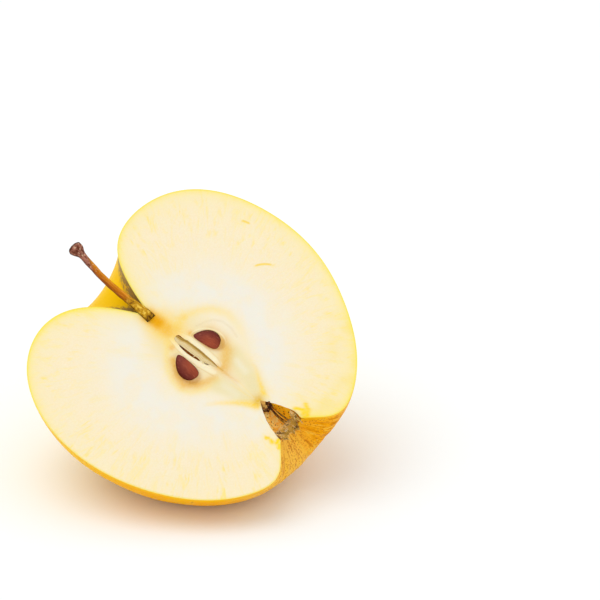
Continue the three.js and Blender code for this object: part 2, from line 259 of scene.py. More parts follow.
def seed_body(seed, grow, rings, sides):
    """Teardrop seed. Returns its rings, its two poles, and where each vertex is on the seed."""
    lean = math.radians(seed["lean"]) * seed["side"]
    ahead = np.array([math.sin(lean), -math.cos(lean), 0])
    outwards = np.array([math.cos(lean), math.sin(lean), 0]) * seed["side"]
    up = np.array([0, 0, 1.0])
    tip = np.array([*seed["tip"], -SEED_SUNK])
    t = 0.5 - 0.5 * np.cos(np.pi * np.arange(rings + 1) / rings)
    full = seed_fullness(t)
    run = (seed["length"] + 2 * grow) * t - grow
    centres = tip + np.outer(run, ahead) + np.outer(seed["bow"] * np.sin(np.pi * t), outwards)
    turn = 2 * np.pi * np.arange(sides) / sides
    wide = (SEED_WIDTH / 2 + grow) * full
    high = (SEED_THICKNESS / 2 + grow) * full
    shape = (
        centres[:, None, :]
        + wide[:, None, None] * np.cos(turn)[None, :, None] * outwards
        + high[:, None, None] * np.sin(turn)[None, :, None] * up
    )
    at = np.stack(
        [
            np.repeat(run[:, None], sides, 1),
            wide[:, None] * np.cos(turn)[None, :],
            np.repeat(np.sin(turn)[None, :], rings + 1, 0),
        ],
        axis=2,
    )
    return shape[1:-1], centres[0], centres[-1], at[1:-1]


# Seed coat: hard testa polished by the flesh, so it has a soft wide gloss over a fine grain.
seed_coat, tree = new_material("seed_coat")
on_seed = add(tree, "ShaderNodeAttribute", {"attribute_name": "on_seed"}, {})
split = add(tree, "ShaderNodeSeparateXYZ", {}, {"Vector": on_seed.outputs["Vector"]})
# The grain lines are 0.15 mm apart and run along the seed, and blotches are 2 mm across.
grain_place = add(
    tree,
    "ShaderNodeMapping",
    {},
    {"Vector": on_seed.outputs["Vector"], "Scale": (0.35, 3.2, 0.6)},
)
grain = add(
    tree,
    "ShaderNodeTexNoise",
    {},
    {"Vector": grain_place.outputs[0], "Scale": 2.0, "Detail": 6.0, "Roughness": 0.65},
)
blotch = add(
    tree,
    "ShaderNodeTexNoise",
    {},
    {"Vector": on_seed.outputs["Vector"], "Scale": 0.55, "Detail": 3.0},
)
coat = add(
    tree,
    "ShaderNodeMix",
    {"data_type": "RGBA"},
    {0: blotch.outputs["Fac"], 6: linear("#8E3C28"), 7: linear("#A64C2E")},
)
# Towards the tip the coat turns purple-brown, and painted shade darkens its outer side.
to_tip = add(
    tree,
    "ShaderNodeMapRange",
    {"interpolation_type": "SMOOTHSTEP"},
    {"Value": split.outputs["X"], "From Min": 5.0, "From Max": 0.8, "To Max": 0.85},
)
coat_tip = add(
    tree,
    "ShaderNodeMix",
    {"data_type": "RGBA"},
    {0: to_tip.outputs[0], 6: coat.outputs[2], 7: linear("#78322C")},
)
outer_side = add(
    tree,
    "ShaderNodeMapRange",
    {"interpolation_type": "SMOOTHSTEP"},
    {"Value": split.outputs["Y"], "From Min": -1.2, "From Max": 1.7},
)
coat_outer_shade = add(
    tree,
    "ShaderNodeMix",
    {"data_type": "RGBA"},
    {0: outer_side.outputs[0], 6: coat_tip.outputs[2], 7: linear("#68241C")},
)
# Lines of the grain, some dark and a few lighter.
grain_share = add(
    tree,
    "ShaderNodeMapRange",
    {"interpolation_type": "SMOOTHSTEP"},
    {"Value": grain.outputs["Fac"], "From Min": 0.5, "From Max": 0.66, "To Max": 0.5},
)
coat_grain = add(
    tree,
    "ShaderNodeMix",
    {"data_type": "RGBA"},
    {0: grain_share.outputs[0], 6: coat_outer_shade.outputs[2], 7: linear("#571B12")},
)
light_share = add(
    tree,
    "ShaderNodeMapRange",
    {"interpolation_type": "SMOOTHSTEP"},
    {"Value": grain.outputs["Fac"], "From Min": 0.45, "From Max": 0.32, "To Max": 0.5},
)
coat_light = add(
    tree,
    "ShaderNodeMix",
    {"data_type": "RGBA"},
    {0: light_share.outputs[0], 6: coat_grain.outputs[2], 7: linear("#BA6C50")},
)
# Painted shade darkens the rim all round, wider on the outer side.
rim_height = add(
    tree,
    "ShaderNodeMath",
    {"operation": "MULTIPLY_ADD"},
    {0: split.outputs["Y"], 1: -0.17, 2: split.outputs["Z"]},
)
edge = add(
    tree,
    "ShaderNodeMapRange",
    {"interpolation_type": "SMOOTHSTEP"},
    {"Value": rim_height.outputs[0], "From Min": 0.1, "From Max": 0.62},
)
coat_edge_shade = add(
    tree,
    "ShaderNodeMix",
    {"data_type": "RGBA"},
    {0: edge.outputs[0], 6: linear("#5A180C"), 7: coat_light.outputs[2]},
)
gloss = add(
    tree,
    "ShaderNodeMapRange",
    {},
    {"Value": grain.outputs["Fac"], "To Min": 0.34, "To Max": 0.5},
)
relief = add(
    tree,
    "ShaderNodeBump",
    {},
    {"Strength": 0.35, "Distance": 0.00006, "Height": grain.outputs["Fac"]},
)
surface = add(
    tree,
    "ShaderNodeBsdfPrincipled",
    {},
    {
        "Base Color": coat_edge_shade.outputs[2],
        "Roughness": gloss.outputs[0],
        "IOR": 1.5,
        "Specular IOR Level": 0.12,
        "Normal": relief.outputs[0],
    },
)
add(tree, "ShaderNodeOutputMaterial", {}, {"Surface": surface.outputs[0]})

for name, seed in SEEDS.items():
    rings, tip_pole, end_pole, at = seed_body(seed, grow=0.0, rings=72, sides=64)
    # The coat has shallow dents, where it dried over the kernel.
    for i, ring in enumerate(rings):
        middle = ring.mean(0)
        for k, point in enumerate(ring):
            dent = noise.noise(Vector(point * DENTS_PER_MM + 7 * seed["side"]))
            rings[i, k] = middle + (point - middle) * (1 - DENT_DEPTH * abs(dent))
    points, faces = loft(rings, tip_pole, end_pole)
    piece = make_object(name + "_coat", points, faces)
    flat = at.reshape(-1, 3)
    poles = np.array([[0, 0, 0.3], [seed["length"], 0, 0.3]])
    store(piece, "on_seed", np.vstack([flat, poles]))
    piece.data.materials.append(seed_coat)
    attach(piece, "root")
    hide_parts(name)

# ---- Carpel wall ---------------------------------------------------------------------------
# The tough papery wall of the empty seed chamber, seen in the cut as a low ridged strip. It
# grows out of the core on its upper side, and a narrow dark slit is left open on the lower.

CHAMBER_TOP = np.array([0.3, 7.5, 0.0])
CHAMBER_LENGTH = 14.0
CHAMBER_LEAN = math.radians(4.8)
CHAMBER_DEPTH = 1.3
CHAMBER_AHEAD = np.array([math.sin(CHAMBER_LEAN), -math.cos(CHAMBER_LEAN), 0])
CHAMBER_SIDE = np.array([math.cos(CHAMBER_LEAN), math.sin(CHAMBER_LEAN), 0])
# Edges of the wall across the chamber, at stations from its top (0) to its foot (1), in
# millimetres, and the width of the open slit beside each edge, where it isn't grown on.
WALL_STATIONS = (0.0, 0.04, 0.09, 0.14, 0.19, 0.25, 0.35, 0.5, 0.6, 0.68, 0.75, 0.82, 0.9, 1.0)
WALL_LOWER = (
    -0.1, -0.8, -1.15, -1.25, -1.02, -1.05, -1.05, -1.03, -0.92, -1.15, -0.85, -0.62, -0.5, -0.1
)
WALL_UPPER = (0.15, 0.5, 0.62, 0.68, 0.8, 1.1, 1.2, 1.2, 1.15, 1.05, 0.98, 0.9, 0.75, 0.45)
SLIT_STATIONS = (
    0.0, 0.035, 0.055, 0.1, 0.14, 0.18, 0.21, 0.26, 0.3, 0.4, 0.5, 0.57, 0.64, 0.68, 0.73, 0.77,
    0.82, 0.86, 1.0
)
SLIT_LOWER = (
    0, 0, 0, 0, 0, 0.12, 0.34, 0.48, 0.56, 0.68, 0.62, 0.6, 0.42, 0.05, 0.0, 0.3, 0.32, 0, 0
)
SLIT_UPPER = (0, 0, 0.26, 0.24, 0.12, 0.08, 0.06, 0.05, 0, 0, 0, 0, 0, 0, 0, 0, 0, 0, 0)
GROWN_ON = 0.12  # where there is no slit the wall runs this far into the flesh
LINE_STEPS = 200
SMOOTHINGS = 8


def smooth_line(t, stations, values):
    """Values at stations t between the given ones, with the corners rounded over."""
    fine = np.linspace(0, 1, LINE_STEPS + 1)
    line = np.interp(fine, stations, values)
    for _ in range(SMOOTHINGS):
        line[1:-1] = 0.25 * line[:-2] + 0.5 * line[1:-1] + 0.25 * line[2:]
    return np.interp(t, fine, line)


def chamber_swell(t):
    """How full the boat-shaped chamber is at shares t from its top to its foot."""
    return np.sin(np.pi * t**0.7) ** 0.6


def chamber_hollow(rings, sides):
    """Boat-shaped body that hollows the chamber out of the flesh."""
    t = np.linspace(0.03, 0.985, rings)
    lower = smooth_line(t, WALL_STATIONS, WALL_LOWER) + GROWN_ON
    upper = smooth_line(t, WALL_STATIONS, WALL_UPPER) - GROWN_ON
    slit_lower = smooth_line(t, SLIT_STATIONS, SLIT_LOWER)
    slit_upper = smooth_line(t, SLIT_STATIONS, SLIT_UPPER)
    lower -= slit_lower + GROWN_ON * np.clip(slit_lower / 0.1, 0, 1)
    upper += slit_upper + GROWN_ON * np.clip(slit_upper / 0.1, 0, 1)
    deep = CHAMBER_DEPTH * chamber_swell(t)
    turn = 2 * np.pi * np.arange(sides) / sides
    round_over = np.sign(np.cos(turn)) * np.abs(np.cos(turn)) ** 0.5
    across = 0.5 * (lower + upper)[:, None] + 0.5 * (upper - lower)[:, None] * round_over
    centres = CHAMBER_TOP + np.outer(CHAMBER_LENGTH * t, CHAMBER_AHEAD)
    shape = centres[:, None, :] + across[:, :, None] * CHAMBER_SIDE
    shape[:, :, 2] += deep[:, None] * np.sin(turn)
    return loft(shape, shape[0].mean(0), shape[-1].mean(0))


NO_STRAND_WAY = (0.3, 0.1, 1.0)  # a direction that no strand runs in


def strand(path, radius, sides):
    """A thin closed strand along a path of points, with one radius per point."""
    path = np.asarray(path, dtype=float)
    ahead = np.gradient(path, axis=0)
    ahead /= np.linalg.norm(ahead, axis=1, keepdims=True)
    side = np.cross(ahead, NO_STRAND_WAY)
    side /= np.linalg.norm(side, axis=1, keepdims=True)
    over = np.cross(side, ahead)
    turn = 2 * np.pi * np.arange(sides) / sides
    shape = path[:, None, :] + np.asarray(radius)[:, None, None] * (
        np.cos(turn)[None, :, None] * side[:, None, :]
        + np.sin(turn)[None, :, None] * over[:, None, :]
    )
    return loft(shape, path[0], path[-1])


# Carpel parchment: smooth and slightly shiny, warm beige. Painted shade makes its upper side tan
# and lays an olive-brown line along the fold.
carpel_parchment, tree = new_material("carpel_parchment")
on_wall = add(tree, "ShaderNodeAttribute", {"attribute_name": "on_wall"}, {})
split = add(tree, "ShaderNodeSeparateXYZ", {}, {"Vector": on_wall.outputs["Vector"]})
# Fibres run along the wall, 0.2 mm apart.
fibre_place = add(
    tree,
    "ShaderNodeMapping",
    {},
    {"Vector": on_wall.outputs["Vector"], "Scale": (10.0, 0.35, 1.0)},
)
fibre = add(
    tree,
    "ShaderNodeTexNoise",
    {},
    {"Vector": fibre_place.outputs[0], "Scale": 1.0, "Detail": 5.0, "Roughness": 0.6},
)
# Painted shade: beyond the ridge the wall's upper side is darker tan.
half = add(
    tree,
    "ShaderNodeMapRange",
    {"interpolation_type": "SMOOTHSTEP"},
    {"Value": split.outputs["X"], "From Min": 0.42, "From Max": 0.75},
)
parchment = add(
    tree,
    "ShaderNodeMix",
    {"data_type": "RGBA"},
    {0: half.outputs[0], 6: linear("#E4CE9A"), 7: linear("#C49C4A")},
)
# Painted shade along the fold line.
parchment_crease_shade = add(
    tree,
    "ShaderNodeMix",
    {"data_type": "RGBA"},
    {0: split.outputs["Z"], 6: parchment.outputs[2], 7: linear("#96762E")},
)
fibre_share = add(
    tree,
    "ShaderNodeMapRange",
    {},
    {"Value": fibre.outputs["Fac"], "From Min": 0.5, "From Max": 0.66, "To Max": 0.5},
)
parchment_fibre = add(
    tree,
    "ShaderNodeMix",
    {"data_type": "RGBA"},
    {0: fibre_share.outputs[0], 6: parchment_crease_shade.outputs[2], 7: linear("#B8904E")},
)
gloss = add(
    tree,
    "ShaderNodeMapRange",
    {},
    {"Value": fibre.outputs["Fac"], "To Min": 0.35, "To Max": 0.55},
)
relief = add(
    tree,
    "ShaderNodeBump",
    {},
    {"Strength": 0.4, "Distance": 0.00006, "Height": fibre.outputs["Fac"]},
)
surface = add(
    tree,
    "ShaderNodeBsdfPrincipled",
    {},
    {
        "Base Color": parchment_fibre.outputs[2],
        "Roughness": gloss.outputs[0],
        "IOR": 1.45,
        "Specular IOR Level": 0.15,
        "Subsurface Weight": 0.1,
        "Subsurface Radius": (0.8, 0.6, 0.3),
        "Subsurface Scale": 0.0006,
        "Normal": relief.outputs[0],
    },
)
add(tree, "ShaderNodeOutputMaterial", {}, {"Surface": surface.outputs[0]})

FOLD = 0.82  # place of the fold line across the wall, from its lower edge
WALL_THICKNESS = 0.3
WALL_SUNK = 0.03  # the crest of the wall lies this far under the cut
CREST_DROP = 0.1  # and this much deeper at its ends
LOWER_FALL = 0.12  # the wall falls this far to its lower edge
UPPER_FALL = 0.05
FALL_REACH = 0.3  # share of the wall's width in which it falls to its lower edge
CREASE_DEPTH = 0.1
CREASE_WIDTH = 0.07  # share of the wall's width
WALL_RIB_HEIGHT = 0.035
WALL_RINGS = 130
WALL_ACROSS = 29  # points across the wall, above and again below
t = np.linspace(0.004, 0.99, WALL_RINGS)
share = np.concatenate([np.linspace(0, 1, WALL_ACROSS), np.linspace(1, 0, WALL_ACROSS)])
top_side = np.arange(2 * WALL_ACROSS) < WALL_ACROSS
lower = smooth_line(t, WALL_STATIONS, WALL_LOWER)
upper = smooth_line(t, WALL_STATIONS, WALL_UPPER)
across = lower[:, None] + (upper - lower)[:, None] * share
crest = -WALL_SUNK - CREST_DROP * (1 - chamber_swell(t))
fall_lower = LOWER_FALL * np.clip((FALL_REACH - share) / FALL_REACH, 0, 1) ** 2.0
fall_upper = UPPER_FALL * np.clip((share - FOLD) / (1 - FOLD), 0, 1) ** 1.2
crease = CREASE_DEPTH * np.exp(-(((share - FOLD) / CREASE_WIDTH) ** 2)) * top_side
rib = WALL_RIB_HEIGHT * np.cos(28 * share) * top_side
height = crest[:, None] - fall_lower - fall_upper - crease + rib
height -= np.where(top_side, 0, WALL_THICKNESS * np.clip(0.35 + 4 * share, 0, 1))
centres = CHAMBER_TOP + np.outer(CHAMBER_LENGTH * t, CHAMBER_AHEAD)
rings = centres[:, None, :] + across[:, :, None] * CHAMBER_SIDE
rings[:, :, 2] += height
parts = [loft(rings, rings[0].mean(0), rings[-1].mean(0))]
# Painted shade in olive lies along the fold: it starts near the top, widens and runs down to the
# foot.
crease_shade_width = np.interp(t, (0, 0.3, 0.55, 1), (0.05, 0.07, 0.11, 0.16))[:, None]
crease_shade = np.exp(-(((share - FOLD)[None, :] / crease_shade_width) ** 2))
crease_shade = crease_shade * np.interp(t, (0.02, 0.06, 0.55, 0.8, 1), (0, 0.95, 0.8, 0.45, 0.3))[:, None]
at = np.stack(
    [
        np.repeat(share[None, :], len(t), 0),
        np.repeat(CHAMBER_LENGTH * t[:, None], 2 * WALL_ACROSS, 1),
        crease_shade,
    ],
    axis=2,
)
at = np.vstack([at.reshape(-1, 3), [[0.5, 0, 0], [0.5, CHAMBER_LENGTH, 1]]])
# Torn shreds of the wall cross the slit: where they cross, how far they reach, which way
# they slant, and how they curl.
SHRED_RADIUS = 0.075
SHRED_SUNK = 0.22
SHREDS = (
    (0.525, 0.58, 0.15, 0.1),
    (0.545, 0.55, -0.25, 0.06),
    (0.71, 0.5, 0.5, 0.12),
    (0.735, 0.42, 0.35, 0.18),
    (0.79, 0.4, -0.3, 0.1),
)
for station, reach, slant, curl in SHREDS:
    edge = smooth_line(np.array([station]), WALL_STATIONS, WALL_LOWER)[0]
    s = np.linspace(0, 1, 9)[:, None]
    path = CHAMBER_TOP + CHAMBER_LENGTH * station * CHAMBER_AHEAD
    path = path + (edge + 0.1 - reach * s) * CHAMBER_SIDE + slant * s * CHAMBER_AHEAD
    path[:, 2] += -SHRED_SUNK + curl * np.sin(np.pi * s[:, 0]) + 0.12 * s[:, 0]
    parts.append(strand(path, SHRED_RADIUS * (1 - 0.45 * s[:, 0]), sides=6))
    place = [0.1, CHAMBER_LENGTH * station, 0.0]
    at = np.vstack([at, np.tile(place, (len(parts[-1][0]), 1))])
points, faces = joined(parts)
piece = make_object("carpel_parchment_wall", points, faces)
store(piece, "on_wall", at)
piece.data.materials.append(carpel_parchment)
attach(piece, "root")
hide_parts("carpel_wall")

# ---- Stem ----------------------------------------------------------------------------------
# A woody stem, cut free of the flesh on its near side. The bark is orange-brown and ridged
# along its length, plum-brown at the knob where it broke off the spur, and pale at the foot.

STEM_LINE = (
    (-0.45, 14.9, -0.2),
    (-0.7, 21.6, 0.0),
    (-1.05, 28.5, 0.1),
    (-0.65, 36.0, 0.1),
    (-0.05, 42.85, 0.1),
)
STEM_LENGTH = 28.0
STEM_FOOT_RADIUS = 1.25
STEM_RADIUS = 0.9
STEM_KNOB_RADIUS = 1.9
STEM_KNOB_LENGTH = 1.7
STEM_KNOB_BACK = 0.35  # the knob is thickest this far before the end
STEM_FOOT_SHARE = 0.25  # share of the length over which the foot thins out
STEM_RINGS = 210
STEM_SIDES = 64
BARK_RADIUS = 1.6  # the bark's pattern is laid on a round of this radius
LIP_LENGTH = 0.6  # of the lip round the knob's end
TORN_LENGTH = 1.2  # of the torn end of the foot
LUMP_SHARE = 0.1  # how far lumps lift the bark, as a share of its radius


def stem_centres(t):
    """Points of the stem's centre line at shares t of its length."""
    knots = np.array(STEM_LINE)
    heights = np.interp(t, [0, 1], [knots[0, 1], knots[-1, 1]])
    # A quartic goes through the five knots.
    across = np.polyval(np.polyfit(knots[:, 1], knots[:, 0], 4), heights)
    lift = np.interp(heights, knots[:, 1], knots[:, 2])
    return np.stack([across, heights, lift], axis=1)


def stem_radius(t):
    """Bark radius at shares t of the stem's length."""
    knob = np.exp(-((((1 - t) * STEM_LENGTH - STEM_KNOB_BACK) / STEM_KNOB_LENGTH) ** 2))
    foot = np.exp(-((t / STEM_FOOT_SHARE) ** 2))
    radius = STEM_RADIUS + (STEM_FOOT_RADIUS - STEM_RADIUS) * foot
    return radius + (STEM_KNOB_RADIUS - STEM_RADIUS) * knob


def stem_rings(t, turn, radius):
    """Rings round the centre line. The radius is one number per ring and per side."""
    centres = stem_centres(t)
    ahead = np.gradient(centres, axis=0)
    ahead /= np.linalg.norm(ahead, axis=1, keepdims=True)
    side = np.cross(ahead, (0, 0, 1.0))
    side /= np.linalg.norm(side, axis=1, keepdims=True)
    over = np.cross(side, ahead)
    round_part = np.cos(turn)[None, :, None] * side[:, None, :]
    round_part = round_part + np.sin(turn)[None, :, None] * over[:, None, :]
    return centres[:, None, :] + radius[:, :, None] * round_part, centres, ahead


# Bark: dry and fibrous, with a faint polish on the shaft. At the knob it is darker and
# flecked with weathered scales, and the foot keeps some of the flesh's yellow.
bark, tree = new_material("stem_bark")
on_stem = add(tree, "ShaderNodeAttribute", {"attribute_name": "on_stem"}, {})
run = add(tree, "ShaderNodeAttribute", {"attribute_name": "along_stem"}, {})
side = add(tree, "ShaderNodeAttribute", {"attribute_name": "stem_side"}, {})
dark = add(tree, "ShaderNodeAttribute", {"attribute_name": "stem_dark_and_shade"}, {})
# Bark fibres are 0.3 mm wide and a few millimetres long.
fibre_place = add(
    tree,
    "ShaderNodeMapping",
    {},
    {"Vector": on_stem.outputs["Vector"], "Scale": (2.4, 0.3, 2.4)},
)
fibre = add(
    tree,
    "ShaderNodeTexNoise",
    {},
    {"Vector": fibre_place.outputs[0], "Scale": 1.0, "Detail": 4.0, "Roughness": 0.6},
)
mottle = add(
    tree,
    "ShaderNodeTexNoise",
    {},
    {"Vector": on_stem.outputs["Vector"], "Scale": 0.85, "Detail": 3.0, "Roughness": 0.6},
)
# The shaft is orange, with painted light on its upper side and painted rust-brown shade below.
under_shade = add(
    tree,
    "ShaderNodeMapRange",
    {"interpolation_type": "SMOOTHSTEP"},
    {"Value": side.outputs["Fac"], "From Min": -0.1, "From Max": -0.8},
)
upper = add(
    tree,
    "ShaderNodeMapRange",
    {"interpolation_type": "SMOOTHSTEP"},
    {"Value": side.outputs["Fac"], "From Min": 0.0, "From Max": 0.55},
)
shaft_shaded = add(
    tree,
    "ShaderNodeMix",
    {"data_type": "RGBA"},
    {0: under_shade.outputs[0], 6: linear("#BE6A02"), 7: linear("#A25200")},
)
shaft_highlighted = add(
    tree,
    "ShaderNodeMix",
    {"data_type": "RGBA"},
    {0: upper.outputs[0], 6: shaft_shaded.outputs[2], 7: linear("#DC8E1C")},
)
fibre_dark = add(
    tree,
    "ShaderNodeMapRange",
    {"interpolation_type": "SMOOTHSTEP"},
    {"Value": fibre.outputs["Fac"], "From Min": 0.47, "From Max": 0.34, "To Max": 0.6},
)
shaft_dark = add(
    tree,
    "ShaderNodeMix",
    {"data_type": "RGBA"},
    {0: fibre_dark.outputs[0], 6: shaft_highlighted.outputs[2], 7: linear("#863A00")},
)
fibre_light = add(
    tree,
    "ShaderNodeMapRange",
    {"interpolation_type": "SMOOTHSTEP"},
    {"Value": fibre.outputs["Fac"], "From Min": 0.54, "From Max": 0.68, "To Max": 0.6},
)
shaft = add(
    tree,
    "ShaderNodeMix",
    {"data_type": "RGBA"},
    {0: fibre_light.outputs[0], 6: shaft_dark.outputs[2], 7: linear("#EFA840")},
)
# Foot: yellow and olive tissue in patches of a millimetre, with brown ones between.
light_patch = add(
    tree,
    "ShaderNodeMapRange",
    {"interpolation_type": "SMOOTHSTEP"},
    {"Value": mottle.outputs["Fac"], "From Min": 0.5, "From Max": 0.66},
)
foot_light = add(
    tree,
    "ShaderNodeMix",
    {"data_type": "RGBA"},
    {0: light_patch.outputs[0], 6: linear("#C08A0C"), 7: linear("#EEC448")},
)
dark_patch = add(
    tree,
    "ShaderNodeMapRange",
    {"interpolation_type": "SMOOTHSTEP"},
    {"Value": mottle.outputs["Fac"], "From Min": 0.47, "From Max": 0.36, "To Max": 0.85},
)
foot = add(
    tree,
    "ShaderNodeMix",
    {"data_type": "RGBA"},
    {0: dark_patch.outputs[0], 6: foot_light.outputs[2], 7: linear("#6E4408")},
)
to_foot = add(
    tree,
    "ShaderNodeMapRange",
    {"interpolation_type": "SMOOTHSTEP"},
    {"Value": run.outputs["Fac"], "From Min": 9.5, "From Max": 6.0},
)
shaft_foot = add(
    tree,
    "ShaderNodeMix",
    {"data_type": "RGBA"},
    {0: to_foot.outputs[0], 6: shaft.outputs[2], 7: foot.outputs[2]},
)
# Knob: plum-brown bark with dark cracks. It starts further down on the under side.
knob_share = add(
    tree,
    "ShaderNodeMapRange",
    {"interpolation_type": "SMOOTHSTEP"},
    {"Value": mottle.outputs["Fac"], "From Min": 0.4, "From Max": 0.6},
)
knob_tone = add(
    tree,
    "ShaderNodeMix",
    {"data_type": "RGBA"},
    {0: knob_share.outputs[0], 6: linear("#6A3624"), 7: linear("#AC6E5A")},
)
knob_crack = add(
    tree,
    "ShaderNodeMix",
    {"data_type": "RGBA"},
    {0: fibre_dark.outputs[0], 6: knob_tone.outputs[2], 7: linear("#4A1C10")},
)
knob_start = add(
    tree,
    "ShaderNodeMath",
    {"operation": "MULTIPLY_ADD"},
    {0: side.outputs["Fac"], 1: -2.2, 2: run.outputs["Fac"]},
)
to_knob = add(
    tree,
    "ShaderNodeMapRange",
    {"interpolation_type": "SMOOTHSTEP"},
    {"Value": knob_start.outputs[0], "From Min": 19.8, "From Max": 22.8},
)
all_bark = add(
    tree,
    "ShaderNodeMix",
    {"data_type": "RGBA"},
    {0: to_knob.outputs[0], 6: shaft_foot.outputs[2], 7: knob_crack.outputs[2]},
)
# Pale scales of weathered bark, 0.7 mm across, lie on the knob and below it.
scale = add(
    tree,
    "ShaderNodeTexNoise",
    {},
    {"Vector": on_stem.outputs["Vector"], "Scale": 1.5, "Detail": 2.0, "Roughness": 0.5},
)
pale = add(
    tree,
    "ShaderNodeMapRange",
    {"interpolation_type": "SMOOTHSTEP"},
    {"Value": scale.outputs["Fac"], "From Min": 0.58, "From Max": 0.68, "To Max": 0.75},
)
pale_upper = add(
    tree,
    "ShaderNodeMapRange",
    {"interpolation_type": "SMOOTHSTEP"},
    {"Value": run.outputs["Fac"], "From Min": 17.0, "From Max": 21.0, "To Min": 0.1},
)
pale_here = add(
    tree,
    "ShaderNodeMath",
    {"operation": "MULTIPLY"},
    {0: pale.outputs[0], 1: pale_upper.outputs[0]},
)
flecked = add(
    tree,
    "ShaderNodeMix",
    {"data_type": "RGBA"},
    {0: pale_here.outputs[0], 6: all_bark.outputs[2], 7: linear("#DDB494")},
)
# Darkening from painted shade on the shaft's under side, and at the foot's corners and the knob's
# rim.
darkened_and_shaded = add(
    tree,
    "ShaderNodeMix",
    {"data_type": "RGBA"},
    {0: dark.outputs["Fac"], 6: flecked.outputs[2], 7: linear("#2E1404")},
)
gloss = add(
    tree,
    "ShaderNodeMapRange",
    {},
    {"Value": fibre.outputs["Fac"], "To Min": 0.42, "To Max": 0.7},
)
relief = add(
    tree,
    "ShaderNodeBump",
    {},
    {"Strength": 0.5, "Distance": 0.00012, "Height": fibre.outputs["Fac"]},
)
surface = add(
    tree,
    "ShaderNodeBsdfPrincipled",
    {},
    {
        "Base Color": darkened_and_shaded.outputs[2],
        "Roughness": gloss.outputs[0],
        "IOR": 1.5,
        "Specular IOR Level": 0.1,
        "Normal": relief.outputs[0],
    },
)
add(tree, "ShaderNodeOutputMaterial", {}, {"Surface": surface.outputs[0]})

t = np.linspace(0.006, 1, STEM_RINGS)
turn = 2 * np.pi * np.arange(STEM_SIDES) / STEM_SIDES
# Three long ridges and seven fine ones twist a little on their way up, and a low knot breaks
# them near the foot.
twist = turn[None, :] + 0.5 * t[:, None]
ridges = 0.05 * np.cos(3 * twist) + 0.03 * np.cos(7 * twist + 1.3)
knot = np.exp(-(((t - 0.2) / 0.05) ** 2))[:, None]
ridges = ridges + 0.05 * knot * np.cos(2 * twist + 0.6)
radius = stem_radius(t)[:, None] * (1 + ridges * (1 - 0.4 * t[:, None]))
# Round the knob's end runs a lip, thickest on the under side.
at_end = np.exp(-(((1 - t) * STEM_LENGTH / LIP_LENGTH) ** 2))[:, None]
lip = at_end * (0.03 - 0.05 * np.cos(turn))
radius = radius * (1 + lip)
rings, centres, ahead = stem_rings(t, turn, radius)
for i, ring in enumerate(rings):
    for k, point in enumerate(ring):
        lump = noise.noise(Vector((point[0] * 1.1, point[1] * 0.5, point[2] * 1.1)))
        rings[i, k] = centres[i] + (point - centres[i]) * (1 + LUMP_SHARE * lump)
# The foot is torn: its end runs out in fibres of different lengths.
torn = 0.35 * np.cos(5 * turn + 0.4) + 0.25 * np.cos(8 * turn + 1) + 0.2 * np.cos(13 * turn)
at_foot = np.exp(-((t * STEM_LENGTH / TORN_LENGTH) ** 2))[:, None]
rings -= (torn * at_foot)[:, :, None] * ahead[0]
# The end is a low dome with a dimple, where the stem parted from its spur: how much of the
# rim's width is left, how high it stands there, and how dark it is.
DOME = (
    (0.95, 0.14, 0.7),
    (0.86, 0.3, 0.45),
    (0.72, 0.4, 0.2),
    (0.55, 0.42, 0.2),
    (0.36, 0.34, 0.35),
    (0.18, 0.28, 0.5),
)
BUTT = (0.3, 0.6, 0.85)  # rings that close the foot, as shares of its width
dome = []
for inset, rise, _ in DOME:
    dome.append(centres[-1] + (rings[-1] - centres[-1]) * inset + rise * ahead[-1])
butt = []
for inset in BUTT:
    butt.append(centres[0] + (rings[0] - centres[0]) * inset)
all_rings = np.concatenate([np.array(butt), rings, np.array(dome)])
points, faces = loft(all_rings, centres[0], dome[-1].mean(0))
piece = make_object("stem_wood", points, faces)
run = np.concatenate([np.zeros(len(BUTT)), t * STEM_LENGTH, np.full(len(DOME), STEM_LENGTH)])
around = BARK_RADIUS * np.stack([np.cos(turn), np.sin(turn)], axis=1)
at = np.zeros((len(run), STEM_SIDES, 3))
at[:, :, 0] = around[None, :, 0]
at[:, :, 1] = run[:, None]
at[:, :, 2] = around[None, :, 1]
# Darkening: both corners of the torn foot, the rim of the knob, and, as painted shade, the
# shaft's under side.
foot_dark = 0.85 * np.exp(-((run / 1.1) ** 2))[:, None]
foot_dark = foot_dark * (0.15 + 0.85 * np.abs(np.cos(turn)) ** 2)
by_rim = 0.75 * np.exp(-((((1 - t) * STEM_LENGTH) / 0.3) ** 2))
rim_dark = np.concatenate([np.zeros(len(BUTT)), by_rim, [dark for _, _, dark in DOME]])
underside_shade = 0.45 * np.clip(-np.cos(turn - 0.4) - 0.45, 0, 1) / 0.55
shade = np.maximum(np.maximum(foot_dark, rim_dark[:, None]), underside_shade[None, :])
store(piece, "on_stem", np.vstack([at.reshape(-1, 3), [[0, 0, 0], [0, STEM_LENGTH, 0]]]))
store(piece, "along_stem", np.append(np.repeat(run, STEM_SIDES), [0, STEM_LENGTH]))
store(piece, "stem_side", np.append(np.tile(np.cos(turn), len(run)), [0, 0]))
store(piece, "stem_dark_and_shade", np.append(shade.ravel(), [0.2, 0.5]))
piece.data.materials.append(bark)
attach(piece, "root")
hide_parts("stem")

# ---- Dried flower parts --------------------------------------------------------------------
# In the calyx tube the flower's parts have withered: a dark lump with a tuft of stamens, and
# three felted olive-tan sepals that stand along the tube's wall. They grow from the flesh.

TUBE_END = np.array([2.6, -20.1, 0.0])  # blind end of the calyx tube
TUBE_LENGTH = 13.0
TUBE_RADIUS = 4.15
TUBE_FLARE = 6.2  # reach over which the tube opens to most of its radius


def tube_radius(reach):
    """Radius of the calyx tube at a reach from its blind end."""
    return TUBE_RADIUS * np.tanh(np.maximum(reach, 0) / TUBE_FLARE)


